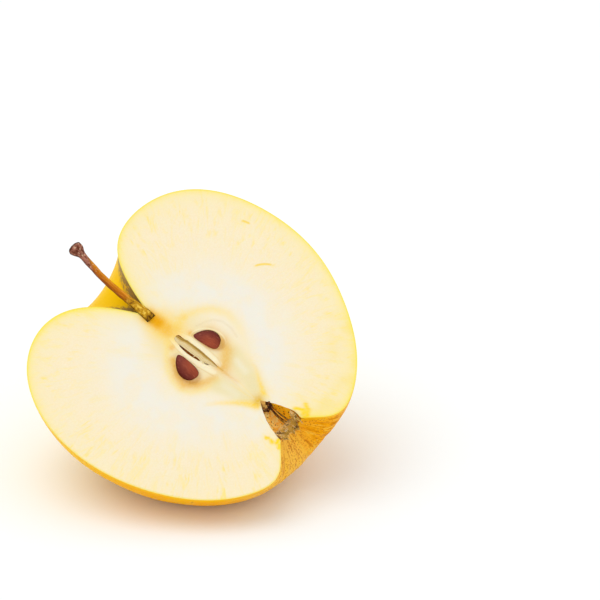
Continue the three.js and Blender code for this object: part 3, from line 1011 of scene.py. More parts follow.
# Withered stamens: brittle dark strands, matt and nearly black where they meet, with a few
# pale chips of dry skin among them. Their specks are 0.4 mm across.
withered, tree = new_material("withered_stamens")
place = add(tree, "ShaderNodeTexCoord", {}, {})
chip = add(tree, "ShaderNodeAttribute", {"attribute_name": "chip"}, {})
speck = add(
    tree,
    "ShaderNodeTexNoise",
    {},
    {"Vector": place.outputs["Object"], "Scale": 2400.0, "Detail": 4.0},
)
tone = add(
    tree,
    "ShaderNodeMapRange",
    {"interpolation_type": "SMOOTHSTEP"},
    {"Value": speck.outputs["Fac"], "From Min": 0.48, "From Max": 0.68},
)
strand_tone = add(
    tree,
    "ShaderNodeMix",
    {"data_type": "RGBA"},
    {0: tone.outputs[0], 6: linear("#2E160A"), 7: linear("#9A5A28")},
)
chipped = add(
    tree,
    "ShaderNodeMix",
    {"data_type": "RGBA"},
    {0: chip.outputs["Fac"], 6: strand_tone.outputs[2], 7: linear("#E2AC56")},
)
relief = add(
    tree,
    "ShaderNodeBump",
    {},
    {"Strength": 0.5, "Distance": 0.0001, "Height": speck.outputs["Fac"]},
)
surface = add(
    tree,
    "ShaderNodeBsdfPrincipled",
    {},
    {
        "Base Color": chipped.outputs[2],
        "Roughness": 0.8,
        "Specular IOR Level": 0.1,
        "Normal": relief.outputs[0],
    },
)
add(tree, "ShaderNodeOutputMaterial", {}, {"Surface": surface.outputs[0]})


def lump(middle, size, rough, rings, sides):
    """A small rough closed lump round a middle point."""
    phi = np.linspace(0, np.pi, rings + 2)[1:-1]
    turn = 2 * np.pi * np.arange(sides) / sides
    shape = np.stack(
        [
            np.sin(phi)[:, None] * np.cos(turn),
            np.repeat(np.cos(phi)[:, None], sides, 1),
            np.sin(phi)[:, None] * np.sin(turn),
        ],
        axis=2,
    )
    middle = np.array(middle)
    for i in range(rings):
        for k in range(sides):
            point = shape[i, k] * size
            shape[i, k] = point * (1 + rough * noise.noise(Vector(point * 2.1 + middle)))
    return loft(shape + middle, middle + (0, size[1], 0), middle - (0, size[1], 0))


draw = np.random.default_rng(41)
parts, chips = [], []
# The lump fills the narrow end of the tube: six knots, and how light each one is.
for middle, size, light in (
    ((3.75, -21.95, -0.5), (0.6, 0.75, 0.5), 0.0),
    ((3.3, -22.6, -0.7), (0.6, 0.7, 0.5), 0.0),
    ((2.35, -23.0, -0.8), (0.6, 0.6, 0.45), 0.0),
    ((2.6, -20.95, -0.35), (0.5, 0.75, 0.35), 0.75),
    ((2.3, -21.8, -0.45), (0.6, 0.8, 0.45), 0.6),
    ((1.75, -22.45, -0.5), (0.55, 0.6, 0.45), 0.1),
):
    parts.append(lump(middle, np.array(size), rough=0.6, rings=22, sides=26))
    chips.append(np.full(len(parts[-1][0]), light))
# Pale chips lie on its upper end.
for middle in (
    (2.9, -20.7, -0.12),
    (2.5, -21.3, -0.12),
    (2.75, -21.5, -0.1),
    (3.0, -21.2, -0.14),
    (3.5, -21.2, -0.3),
    (2.15, -22.3, -0.2),
    (2.7, -22.2, -0.3),
):
    parts.append(lump(middle, draw.uniform(0.12, 0.26, 3), rough=0.9, rings=6, sides=8))
    chips.append(np.full(len(parts[-1][0]), draw.uniform(0.6, 1.0)))
# Strands run out of the lump in a narrow bundle, towards the mouth.
STRANDS = 9
STRAND_RADIUS = 0.1
for k in range(STRANDS):
    sway = -1 + 0.25 * k + draw.uniform(-0.08, 0.08)
    length = draw.uniform(5.6, 6.9)
    start = np.array([3.3 + 0.35 * sway, -22.6, draw.uniform(-0.75, -0.5)])
    end = start + (0.3 + 0.5 * sway, -length, -1.2 - draw.uniform(0, 0.6))
    bend = np.array([-0.3 + draw.uniform(-0.2, 0.2), 0, draw.uniform(0, 0.5)])
    s = np.linspace(0, 1, 16)[:, None]
    path = start * (1 - s) + end * s + bend * np.sin(np.pi * s)
    path[:, 0] += 0.05 * np.sin(9 * s[:, 0] + k)
    parts.append(strand(path, STRAND_RADIUS * (1 - 0.5 * s[:, 0]), sides=7))
    chips.append(np.full(len(parts[-1][0]), 0.35 if k % 3 == 1 else 0.0))
points, faces = joined(parts)
piece = make_object("withered_stamens", points, faces)
store(piece, "chip", np.concatenate(chips))
piece.data.materials.append(withered)
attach(piece, "root")
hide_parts("stamens")

# Sepal felt: dull and hairy, cream at the base, olive-tan in the middle and brown at the
# tips. Its patches are 1 mm across, and its hairs lie in tufts 0.4 mm wide and 1 mm long.
sepal_felt, tree = new_material("sepal_felt")
on_sepal = add(tree, "ShaderNodeAttribute", {"attribute_name": "on_sepal"}, {})
reach_out = add(tree, "ShaderNodeAttribute", {"attribute_name": "to_tip"}, {})
patch = add(
    tree,
    "ShaderNodeTexNoise",
    {},
    {"Vector": on_sepal.outputs["Vector"], "Scale": 0.9, "Detail": 3.0, "Roughness": 0.75},
)
wobble = add(
    tree,
    "ShaderNodeMapRange",
    {},
    {
        "Value": patch.outputs["Fac"],
        "From Min": 0.3,
        "From Max": 0.7,
        "To Min": -0.25,
        "To Max": 0.25,
    },
)
reached = add(
    tree,
    "ShaderNodeMath",
    {"operation": "ADD"},
    {0: reach_out.outputs["Fac"], 1: wobble.outputs[0]},
)
to_olive = add(
    tree,
    "ShaderNodeMapRange",
    {"interpolation_type": "SMOOTHSTEP"},
    {"Value": reached.outputs[0], "From Min": 0.1, "From Max": 0.4},
)
felt = add(
    tree,
    "ShaderNodeMix",
    {"data_type": "RGBA"},
    {0: to_olive.outputs[0], 6: linear("#F2C87C"), 7: linear("#CA9C40")},
)
to_tip = add(
    tree,
    "ShaderNodeMapRange",
    {"interpolation_type": "SMOOTHSTEP"},
    {"Value": reached.outputs[0], "From Min": 0.55, "From Max": 0.95},
)
felt_tip = add(
    tree,
    "ShaderNodeMix",
    {"data_type": "RGBA"},
    {0: to_tip.outputs[0], 6: felt.outputs[2], 7: linear("#B48A38")},
)
spot = add(
    tree,
    "ShaderNodeMapRange",
    {"interpolation_type": "SMOOTHSTEP"},
    {"Value": patch.outputs["Fac"], "From Min": 0.46, "From Max": 0.39, "To Max": 0.85},
)
spotted = add(
    tree,
    "ShaderNodeMix",
    {"data_type": "RGBA"},
    {0: spot.outputs[0], 6: felt_tip.outputs[2], 7: linear("#4A320C")},
)
hair_place = add(
    tree,
    "ShaderNodeMapping",
    {},
    {"Vector": on_sepal.outputs["Vector"], "Scale": (2.4, 0.8, 1.0)},
)
hair = add(
    tree,
    "ShaderNodeTexNoise",
    {},
    {"Vector": hair_place.outputs[0], "Scale": 1.0, "Detail": 3.0},
)
hair_light = add(
    tree,
    "ShaderNodeMapRange",
    {"interpolation_type": "SMOOTHSTEP"},
    {"Value": hair.outputs["Fac"], "From Min": 0.55, "From Max": 0.66, "To Max": 0.6},
)
haired = add(
    tree,
    "ShaderNodeMix",
    {"data_type": "RGBA"},
    {0: hair_light.outputs[0], 6: spotted.outputs[2], 7: linear("#F6E2B0")},
)
relief = add(
    tree,
    "ShaderNodeBump",
    {},
    {"Strength": 0.7, "Distance": 0.00014, "Height": hair.outputs["Fac"]},
)
surface = add(
    tree,
    "ShaderNodeBsdfPrincipled",
    {},
    {
        "Base Color": haired.outputs[2],
        "Roughness": 0.9,
        "Sheen Weight": 0.1,
        "Sheen Roughness": 0.5,
        "Specular IOR Level": 0.1,
        "Normal": relief.outputs[0],
    },
)
add(tree, "ShaderNodeOutputMaterial", {}, {"Surface": surface.outputs[0]})

SEPAL_THICKNESS = 0.26
SEPAL_ROWS = 36
SEPAL_ACROSS = 33  # points across a sepal, on its back and again on its face
HAIRS = 50  # on each sepal
HAIR_RADIUS = 0.035
# How far round the tube each sepal stands (degrees), where it starts, how wide and long it is
# and how far it curls (millimetres), how pale it is, and how much of its length the torn
# margin keeps, from one side (-1) to the other (1). The seed makes each one's creases its own.
SEPALS = {
    "sepal_upper": {
        "round": 10, "out": 7.2, "width": 2.5, "length": 4.0, "curl": 0.25, "pale": 0.2,
        "seed": 3,
        "margin": ((-1, 0.5), (-0.6, 0.95), (-0.2, 0.8), (0.3, 1.0), (0.7, 0.7), (1, 0.4)),
    },
    "sepal_middle": {
        "round": 90, "out": 7.8, "width": 5.2, "length": 4.3, "curl": 0.9, "pale": 0.05,
        "seed": 11,
        "margin": (
            (-1, 0.5), (-0.72, 1.0), (-0.45, 0.84), (-0.08, 0.92), (0.08, 0.7), (0.5, 0.6),
            (0.8, 0.42), (1, 0.15)
        ),
    },
    "sepal_lower": {
        "round": 150, "out": 8.4, "width": 3.8, "length": 3.4, "curl": 0.5, "pale": 0.35,
        "seed": 23,
        "margin": (
            (-1, 0.45), (-0.6, 0.8), (-0.3, 0.7), (0.1, 1.0), (0.5, 0.85), (0.75, 0.95), (1, 0.6)
        ),
    },
}


def blade_skin(rings):
    """Points and faces of a blade whose rings run out along its back and home along its face,
    closed straight across at both ends."""
    count, sides = rings.shape[:2]
    faces = []
    for i in range(count - 1):
        for k in range(sides):
            a, b = i * sides + k, i * sides + (k + 1) % sides
            faces.append((a, b, b + sides, a + sides))
    for k in range(sides // 2 - 1):
        for ring in (0, (count - 1) * sides):
            faces.append((ring + k, ring + k + 1, ring + sides - 2 - k, ring + sides - 1 - k))
    return rings.reshape(-1, 3), faces


for name, sepal in SEPALS.items():
    turned = math.radians(sepal["round"])
    outwards = np.array([math.cos(turned), 0, -math.sin(turned)])
    sideways = np.array([-math.sin(turned), 0, -math.cos(turned)])
    rings, at, tips = [], [], []
    across = np.concatenate(
        [np.linspace(-1, 1, SEPAL_ACROSS), np.linspace(1, -1, SEPAL_ACROSS)]
    )
    outer_side = np.arange(2 * SEPAL_ACROSS) < SEPAL_ACROSS
    kept = np.interp(across, *zip(*sepal["margin"]))
    for t in np.linspace(0, 1, SEPAL_ROWS):
        half = 0.5 * sepal["width"] * (0.8 + 0.25 * math.sin(0.8 * math.pi * t))
        ring = []
        for s, outer, keep in zip(across, outer_side, kept):
            # The margin is ragged and ripples, and the blade bends with the tube's wall, grown
            # on to it at the base and leaning off it towards the tip.
            jag = 0.12 * t * noise.noise(Vector((7 * s, sepal["seed"], 0.5)))
            reach = sepal["out"] + sepal["length"] * t * (keep + jag)
            lean = 0.1 + 0.45 * t + sepal["curl"] * t**2
            stand = tube_radius(reach) - lean
            rag = 1 + 0.12 * noise.noise(Vector((sepal["seed"], 4.1 * t, 2.0 * s)))
            ripple = 0.25 * s * s * math.sin(9 * t + sepal["seed"])
            vein = 0.06 * math.cos(4 * math.pi * s)
            crumple = 0.9 * t * noise.noise(Vector((2.4 * s, 2.6 * t, sepal["seed"])))
            bend = (half * s) ** 2 / (2 * max(stand, 1.5))
            depth = stand - bend + ripple * t + vein + crumple
            body = SEPAL_THICKNESS * (1 - 0.6 * t) * (1 - 0.75 * s * s) * min(1, 0.3 + 3 * t)
            point = TUBE_END + (0, -reach, 0) + outwards * (depth - (0 if outer else body))
            ring.append(point + sideways * half * s * rag)
            at.append((0.5 * sepal["width"] * s, reach, sepal["seed"]))
            tips.append(t + 0.25 * s * s - sepal["pale"])
        rings.append(ring)
    rings = np.array(rings)
    parts = [blade_skin(rings)]
    # Pale hairs stand along both sides of the margin and at the tip.
    last_across = SEPAL_ACROSS - 1
    for _ in range(HAIRS):
        left = (draw.integers(5, SEPAL_ROWS), 0)
        right = (draw.integers(5, SEPAL_ROWS), last_across)
        at_tip = (SEPAL_ROWS - 1, draw.integers(1, last_across))
        i, side = draw.choice([left, right, at_tip])
        root = rings[i, side]
        lean = sideways * (2 * side / last_across - 1) * draw.uniform(0.05, 0.4)
        tip = root + lean + (0, -draw.uniform(0.2, 0.8), 0) - outwards * draw.uniform(0, 0.4)
        s = np.linspace(0, 1, 4)[:, None]
        path = root * (1 - s) + tip * s
        parts.append(strand(path, HAIR_RADIUS * (1 - 0.6 * s[:, 0]), sides=4))
        at += [(0.2, 1.0, 90.0)] * len(parts[-1][0])
        tips += [0.0] * len(parts[-1][0])
    points, faces = joined(parts)
    piece = make_object(name + "_felt", points, faces)
    store(piece, "on_sepal", np.array(at))
    store(piece, "to_tip", np.array(tips))
    piece.data.materials.append(sepal_felt)
    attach(piece, "root")
    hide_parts(name)

# ---- Flesh and skin ------------------------------------------------------------------------
# The half itself: crisp pale flesh under a thin waxy yellow skin, cut through with a knife
# from stem to calyx. The sockets, the seed chamber, the calyx tube and the stem's bed are
# hollows in it, and it rests on a small flat spot where its back meets the table.

# Each lobe of the outline: its mean radius, the waves that shape it (the first is once round,
# the next twice), and how wide and how sharp the stem cavity opens on its side.
LOWER_LOBE = {
    "radius": 38.6,
    "waves": (0.014, -0.008, -0.061, -0.029, -0.0105, -0.005),
    "stem_width": 8.6,
    "stem_power": 1.17,
}
UPPER_LOBE = {
    "radius": 41.6,
    "waves": (0.037, -0.026, -0.041, -0.037, -0.011, -0.0125),
    "stem_width": 3.95,
    "stem_power": 1.0,
}
STEM_FLOOR = 15.7  # floor of the stem cavity, above the core centre
CALYX_DEPTH = 9.9
CALYX_WIDTH = 8.1
CALYX_POWER = 2.25
CALYX_SHIFT = 2.4  # the basin lies this far towards the upper lobe
BACK_SHOULDER_DROP = 0.9
BACK_CALYX_DROP = 1.3
RIB_HEIGHT = 0.012  # share of the radius
RIB_GAIN_CALYX = 0.012  # more of it at the calyx end
PUCKER_DEPTH = 0.38


def lobe_distance(lobe, angle):
    """Distance of a lobe's skin from the core centre, before the ends are hollowed."""
    share = np.ones_like(angle)
    for k, size in enumerate(lobe["waves"], 1):
        share += size * np.cos(k * angle)
    return lobe["radius"] * share


def lobe_outline(lobe, angle):
    """Skin outline of a lobe: distance from the core line, and height along it."""
    distance = lobe_distance(lobe, angle)
    out = distance * np.sin(angle)
    stem_side = 0.5 * (1 + np.tanh(np.cos(angle) / 0.15))
    shoulder = lobe_distance(lobe, np.zeros(1))[0] - STEM_FLOOR
    dip = shoulder * np.exp(-((out / lobe["stem_width"]) ** lobe["stem_power"]))
    return out, distance * np.cos(angle) - stem_side * dip, stem_side


def skin_points(angle, turn):
    """Skin at angles from the stem and turns round the core, from the upper lobe over the
    back to the lower lobe."""
    upper_out, upper_along, stem_side = lobe_outline(UPPER_LOBE, angle)
    lower_out, lower_along, _ = lobe_outline(LOWER_LOBE, angle)
    share = 0.5 * (1 + np.cos(turn))
    back = np.abs(np.sin(turn))
    fade = np.clip(np.sin(angle), 0, 1) ** 0.5
    rib_height = RIB_HEIGHT + RIB_GAIN_CALYX * (1 - stem_side) * np.cos(angle) ** 2
    rib = 1 + rib_height * np.sin(5 * np.arccos(np.cos(turn))) * fade
    out = (share * upper_out + (1 - share) * lower_out) * rib
    drop = (BACK_SHOULDER_DROP * stem_side - BACK_CALYX_DROP * (1 - stem_side)) * back * fade
    across = out * np.cos(turn)
    behind = -out * np.sin(turn)
    from_calyx = np.hypot(across - CALYX_SHIFT, behind)
    basin = CALYX_DEPTH * np.exp(-((from_calyx / CALYX_WIDTH) ** CALYX_POWER))
    along = share * upper_along + (1 - share) * lower_along - drop + basin * (1 - stem_side)
    # Puckers run out from the calyx and die away on the shoulders of the basin.
    bearing = np.arctan2(-behind, across - CALYX_SHIFT)
    pucker = (
        0.5 * np.sin(13 * bearing + 0.6)
        + 0.4 * np.sin(23 * bearing + 2.1 + 0.1 * from_calyx)
        + 0.3 * np.sin(37 * bearing + 4.0 - 0.15 * from_calyx)
    )
    depth = PUCKER_DEPTH * np.exp(-(((from_calyx - 8.0) / 5.0) ** 2)) * (1 - stem_side)
    along = along + depth * pucker * np.clip(3 * back, 0, 1)
    return np.stack([across, along, behind], axis=-1)


SKIN_ROWS = 210
SKIN_COLUMNS = 108
ROW_CROWDING = 0.34  # the rows lie closer at both ends of the fruit
SWELL_HEIGHT = 0.2
SWELLS_PER_MM = 0.085
SWELL_FADE = 8  # columns beside the cut over which the swells begin
MEAN_RADIUS = 38
row_share = np.arange(SKIN_ROWS + 1) / SKIN_ROWS
row_angle = np.pi * row_share - ROW_CROWDING * np.sin(2 * np.pi * row_share)
column_turn = np.pi * np.arange(SKIN_COLUMNS + 1) / SKIN_COLUMNS
angle_grid, turn_grid = np.meshgrid(row_angle[1:-1], column_turn, indexing="ij")
skin = skin_points(angle_grid, turn_grid)
# The skin swells and dips a little, as no fruit grows true.
for i in range(skin.shape[0]):
    for k in range(1, SKIN_COLUMNS):
        swell = SWELL_HEIGHT * noise.noise(Vector(skin[i, k] * SWELLS_PER_MM))
        begun = min(1, k / SWELL_FADE, (SKIN_COLUMNS - k) / SWELL_FADE)
        skin[i, k] *= 1 + swell / MEAN_RADIUS * begun

columns = SKIN_COLUMNS + 1
rows = SKIN_ROWS - 1
stem_pole = np.array([0, skin_points(np.zeros(1), np.zeros(1))[0][1], 0])
calyx_pole = np.array([0, skin_points(np.full(1, np.pi), np.zeros(1))[0][1], 0])
points = [skin.reshape(-1, 3), [stem_pole], [calyx_pole]]
STEM_POLE, CALYX_POLE = rows * columns, rows * columns + 1
faces = []
for i in range(rows - 1):
    for k in range(columns - 1):
        a = i * columns + k
        faces.append((a, a + 1, a + columns + 1, a + columns))
for k in range(columns - 1):
    faces.append((k + 1, k, STEM_POLE))
    faces.append(((rows - 1) * columns + k, (rows - 1) * columns + k + 1, CALYX_POLE))

# The cut face: rings from the skin in to a point beside the core, closest at the skin and
# round the core, where the detail is finest.
FACE_MIDDLE = np.array([0.8, 0.0, 0.0])
SKIN_RINGS = 16
SKIN_RING_STEP = 0.0035  # share of the way in from the skin
LOBE_RINGS = 50
CORE_RINGS = 64
rim = [STEM_POLE]
rim += [i * columns for i in range(rows)]
rim += [CALYX_POLE]
rim += [i * columns + columns - 1 for i in reversed(range(rows))]
rim_points = np.vstack(points)[rim]
shares = np.concatenate(
    [
        1 - np.cumsum(np.full(SKIN_RINGS, SKIN_RING_STEP)),
        np.linspace(0.935, 0.3, LOBE_RINGS),
        np.linspace(0.294, 0.005, CORE_RINGS),
    ]
)
start = len(np.vstack(points))
face_rings = FACE_MIDDLE + shares[:, None, None] * (rim_points - FACE_MIDDLE)
points += [face_rings.reshape(-1, 3), [FACE_MIDDLE]]
around = len(rim)
outer = rim
for r in range(len(shares)):
    inner = [start + r * around + j for j in range(around)]
    for j in range(around):
        n = (j + 1) % around
        faces.append((outer[j], outer[n], inner[n], inner[j]))
    outer = inner
centre_index = start + len(shares) * around
faces += [(outer[j], outer[(j + 1) % around], centre_index) for j in range(around)]
points = np.vstack(points)


def path_distance(at, path):
    """Distance in the cut plane from points to a path, and the share along the path."""
    path = np.asarray(path, dtype=float)
    lengths = np.linalg.norm(np.diff(path, axis=0), axis=1)
    starts = np.concatenate([[0], np.cumsum(lengths)])
    best = np.full(len(at), 1e9)
    share = np.zeros(len(at))
    for i, length in enumerate(lengths):
        along = (path[i + 1] - path[i]) / length
        offset = at[:, :2] - path[i]
        run = np.clip(offset @ along, 0, length)
        distance = np.linalg.norm(offset - run[:, None] * along, axis=1)
        closer = distance < best
        best[closer] = distance[closer]
        share[closer] = (starts[i] + run[closer]) / starts[-1]
    return best, share


def near(at, path, width, power=2.0):
    """A soft mark along a path: 1 on it, falling off over a width in millimetres."""
    return np.exp(-((path_distance(at, path)[0] / width) ** power))


def round_mark(at, middle, width, power=2):
    """A soft round mark in the cut plane: 1 in its middle, falling off over a width."""
    return np.exp(-((np.hypot(at[:, 0] - middle[0], at[:, 1] - middle[1]) / width) ** power))


OUTLINE_STEPS = 60
MIDDLE_STEP = 34  # directions are taken from this step of a seed's middle line


def seed_distance(at, seed):
    """Distance in the cut plane from points to the outline of a seed, below 0 inside it, and
    the direction of the points from its middle."""
    lean = math.radians(seed["lean"]) * seed["side"]
    ahead = np.array([math.sin(lean), -math.cos(lean)])
    outwards = np.array([math.cos(lean), math.sin(lean)]) * seed["side"]
    t = 0.5 - 0.5 * np.cos(np.pi * np.arange(OUTLINE_STEPS + 1) / OUTLINE_STEPS)
    middle = np.array(seed["tip"]) + np.outer(seed["length"] * t, ahead)
    middle += np.outer(seed["bow"] * np.sin(np.pi * t), outwards)
    best = np.full(len(at), 1e9)
    half = 0.5 * SEED_WIDTH * seed_fullness(t)
    for centre, size in zip(middle, half):
        best = np.minimum(best, np.linalg.norm(at[:, :2] - centre, axis=1) - size)
    heading = at[:, :2] - middle[MIDDLE_STEP]
    return best, heading / np.linalg.norm(heading, axis=1, keepdims=True)


# Relief of the cut face: cream lips stand along the chamber, the flesh sinks a little round
# the core and swells over the lobes, and a torn flake lifts beside the calyx tube.
LIP_HEIGHT = 0.16
LIP_WIDTH = 0.5
CORE_SINK = 0.12
CORE_SINK_WIDTH = 9.0
FLAKE_HEIGHT = 0.35
FLAKE_WIDTH = 0.7
WAVE_HEIGHT = 0.12  # waves of a centimetre in the knife's cut
FINE_WAVE_HEIGHT = 0.025  # and waves of 2 mm
EDGE_SHARE = 0.06  # the relief dies away over this share of the face, along its rim
LOWER_LIP = ((-1.3, 6.0), (-1.5, 3.4), (-1.35, 0.5), (-0.8, -2.6), (0.3, -5.0))
UPPER_LIP = ((1.9, 6.6), (2.35, 3.2), (2.45, 0.0), (2.45, -3.2), (2.3, -5.6))
FLAKE = ((6.3, -26.9), (6.9, -28.9), (7.3, -30.6))
on_face = np.zeros(len(points), dtype=bool)
on_face[start:] = True
at = points[on_face]
lift = LIP_HEIGHT * near(at, LOWER_LIP, LIP_WIDTH) + LIP_HEIGHT * near(at, UPPER_LIP, LIP_WIDTH)
lift -= CORE_SINK * round_mark(at, (1.5, -1.5), CORE_SINK_WIDTH, 4)
lift += FLAKE_HEIGHT * near(at, FLAKE, FLAKE_WIDTH)
wave = [noise.noise(Vector((p[0] * 0.09, p[1] * 0.09, 5.0))) for p in at]
fine_wave = [noise.noise(Vector((p[0] * 0.5, p[1] * 0.5, 9.0))) for p in at]
lift += WAVE_HEIGHT * np.array(wave) + FINE_WAVE_HEIGHT * np.array(fine_wave)
edge_fade = np.clip(np.repeat(1 - shares, around) / EDGE_SHARE, 0, 1)
points[on_face, 2] += lift * np.append(edge_fade, 1.0)

half_body = make_object("apple_half_body", points, faces)
# Where the back meets the table it is pressed flat.
for vertex in half_body.data.vertices:
    vertex.co.z = max(vertex.co.z, 0.0)

# Bodies that hollow the half: the chamber, the sockets, the calyx tube and the stem's bed.
SOCKET_GAP = 0.05
TUBE_RINGS = 55
TUBE_SIDES = 110
TUBE_RAGGED = 0.07  # share of the tube's radius
STEM_BED = 8.0  # length of the stem that lies in the flesh
BED_GAP = 0.1
BED_RINGS = 30
BED_SIDES = 40
parts = [chamber_hollow(rings=90, sides=48)]
for seed in SEEDS.values():
    rings, tip_pole, end_pole, _ = seed_body(seed, SOCKET_GAP, rings=70, sides=64)
    parts.append(loft(rings, tip_pole, end_pole))
turn = 2 * np.pi * np.arange(TUBE_SIDES) / TUBE_SIDES
reach = TUBE_LENGTH * np.linspace(0, 1, TUBE_RINGS + 1)[1:] ** 1.2
funnel = np.zeros((TUBE_RINGS, TUBE_SIDES, 3))
for i, r in enumerate(reach):
    for k, angle in enumerate(turn):
        at_wall = Vector((1.3 * math.cos(angle), 0.3 * r, 1.3 * math.sin(angle)))
        ragged = noise.noise(at_wall) + 0.5 * noise.noise(at_wall * 3.1)
        size = tube_radius(r) * (1 + TUBE_RAGGED * ragged)
        funnel[i, k] = TUBE_END + (size * math.cos(angle), -r, size * math.sin(angle))
parts.append(loft(funnel, TUBE_END, funnel[-1].mean(0)))
t = np.linspace(0, STEM_BED / STEM_LENGTH, BED_RINGS)
turn = 2 * np.pi * np.arange(BED_SIDES) / BED_SIDES
bed_radius = np.repeat(stem_radius(t)[:, None] + BED_GAP, BED_SIDES, 1)
bed, _, bed_ahead = stem_rings(t, turn, bed_radius)
bed = bed - BED_GAP * bed_ahead[0]
parts.append(loft(bed, bed[0].mean(0), bed[-1].mean(0)))
hollow_points, hollow_faces = joined(parts)
hollows = make_object("hollows", hollow_points, hollow_faces)
carve = half_body.modifiers.new("hollow_out", "BOOLEAN")
carve.operation = "DIFFERENCE"
carve.solver = "MANIFOLD"
carve.object = hollows
bpy.context.view_layer.update()
carved = bpy.data.meshes.new_from_object(
    half_body.evaluated_get(bpy.context.evaluated_depsgraph_get())
)
half_body.modifiers.clear()
half_body.data = carved
bpy.data.objects.remove(hollows)

# Marks in the flesh, one number per vertex, for the material to read.
at = vertex_points(half_body)
RIM_SPLIT = 8  # points taken along each edge of the rim
edge_of_skin = kdtree.KDTree(len(rim_points) * RIM_SPLIT)
next_points = np.roll(rim_points, -1, axis=0)
dense_rim = np.concatenate(
    [rim_points * (1 - s) + next_points * s for s in np.arange(RIM_SPLIT) / RIM_SPLIT]
)
for i, p in enumerate(dense_rim):
    edge_of_skin.insert((p[0], p[1], 0), i)
edge_of_skin.balance()
rind = np.array([edge_of_skin.find((p[0], p[1], 0))[2] for p in at])
upper_seed, upper_heading = seed_distance(at, SEEDS["seed_upper"])
lower_seed, lower_heading = seed_distance(at, SEEDS["seed_lower"])
DOWNHILL = np.array([-0.83, -0.55])  # down the leaning cut face
shaded = np.maximum(
    np.exp(-((np.maximum(upper_seed, 0) / 0.45) ** 1.3))
    * (0.45 + 0.55 * np.clip(upper_heading @ DOWNHILL, -0.5, 1)),
    np.exp(-((np.maximum(lower_seed, 0) / 0.55) ** 1.3))
    * (0.5 + 0.5 * np.clip(lower_heading @ DOWNHILL, -0.5, 1)),
)
lit_edge = np.exp(-(((upper_seed - 0.28) / 0.2) ** 2))
lit_edge = lit_edge * np.clip(0.4 - 1.2 * (upper_heading @ DOWNHILL), 0, 1)

# Lines of the flesh that stand out one by one, as points in the cut plane, in millimetres.
CORE_AXIS = ((0.6, 5.0), (1.4, -3.0))
UPPER_ARC = (
    (2.8, 8.9), (6.4, 9.0), (9.6, 7.6), (12.2, 5.4), (13.7, 1.8), (13.2, -2.4), (11.6, -6.4),
    (10.0, -9.0)
)
LOWER_ARC = (
    (-2.4, 7.1), (-4.8, 5.2), (-7.2, 2.4), (-8.5, -0.6), (-8.8, -3.4), (-7.6, -6.0),
    (-4.4, -8.1), (-0.8, -8.6)
)
INNER_ARC = ((5.6, 5.3), (8.5, 4.3), (10.1, 3.3), (11.3, 1.3), (11.5, -1.6), (10.8, -4.2))
UPPER_HALO = ((6.9, 1.4), (7.5, -2.2), (6.4, -4.9), (4.4, -6.4), (3.0, -7.4))
LOWER_HALO = ((-4.6, 3.0), (-6.9, -0.6), (-7.4, -3.4), (-5.3, -5.7), (-3.1, -6.9), (-0.8, -7.6))
GREEN_MIDDLE = ((6.6, -6.5), (6.0, -10.5), (5.0, -14.5), (3.4, -18.0))
GREEN_LOWER = ((-1.6, -9.6), (-0.4, -13.0), (0.8, -17.0))
WHITE_UPPER = ((6.2, -8.6), (5.9, -10.4), (5.6, -12.2))
WHITE_LOWER = ((-0.7, -11.0), (-0.4, -12.9), (-0.3, -14.9))
ARC_TO_CALYX = ((9.6, -8.5), (8.5, -11.5), (7.9, -13.7), (6.1, -16.6), (4.6, -19.4))
LINE_TO_CALYX = ((-7.9, -10.7), (-4.9, -13.1), (-2.5, -15.5), (-0.4, -18.1), (1.0, -20.4))
CORE_STREAK = ((1.8, -6.3), (1.9, -8.4), (2.0, -10.4), (2.3, -12.6))
FOOT_LINE = ((1.8, -2.9), (1.75, -5.4), (1.95, -7.9))
FINE_STREAKS = (
    ((1.6, -11.4), (1.2, -16.6)),
    ((2.6, -12.2), (2.2, -18.6)),
    ((0.7, -12.0), (1.6, -18.0)),
)
UPPER_STRIP = ((1.6, 7.2), (2.3, 4.2), (2.55, 0.7), (2.65, -3.0), (2.5, -6.0))
LOWER_STRIP = ((-0.9, 7.4), (-1.35, 4.4), (-1.45, 0.9), (-0.9, -2.7), (0.2, -6.6))
UPPER_STRIP_EDGE = ((1.7, 8.0), (3.1, 4.0), (3.45, 0.0), (3.45, -4.6), (2.4, -7.6))
LOWER_STRIP_EDGE = ((-1.4, 7.6), (-1.95, 4.2), (-2.1, 1.2), (-1.6, -2.9), (-0.7, -7.2))
STRIP_EDGE_WIDTH = 0.13
STEM_GLOW = ((-0.4, 15.8), (0.0, 12.6), (0.1, 10.6), (0.3, 9.2), (0.9, 8.3))
GLOW_WING = ((1.0, 12.8), (2.5, 11.4), (4.2, 10.0), (5.4, 9.2))
SEED_TIPS = ((3.5, 4.95), (-2.35, 5.6))
SHOULDER = ((31.0, -24.0), (20.0, -32.5), (12.0, -32.0))
TORN = (
    ((9.7, -28.9), (9.2, -29.7), (9.1, -30.5), (8.3, -30.9), (7.8, -31.4), (7.0, -31.1)),
    ((7.0, -27.9), (7.7, -28.9), (8.3, -29.8), (7.4, -30.3)),
    ((-3.3, -27.9), (-3.1, -28.3)),
    ((-3.0, -29.3), (-3.2, -29.7)),
    ((-2.6, -30.7), (-1.9, -30.5), (-1.2, -30.6), (-0.5, -31.0), (0.2, -31.2)),
    ((-2.5, -31.5), (-3.1, -32.0), (-2.1, -32.4), (-3.0, -33.4), (-4.6, -35.2)),
)
core_reach = path_distance(at, CORE_AXIS)[0]
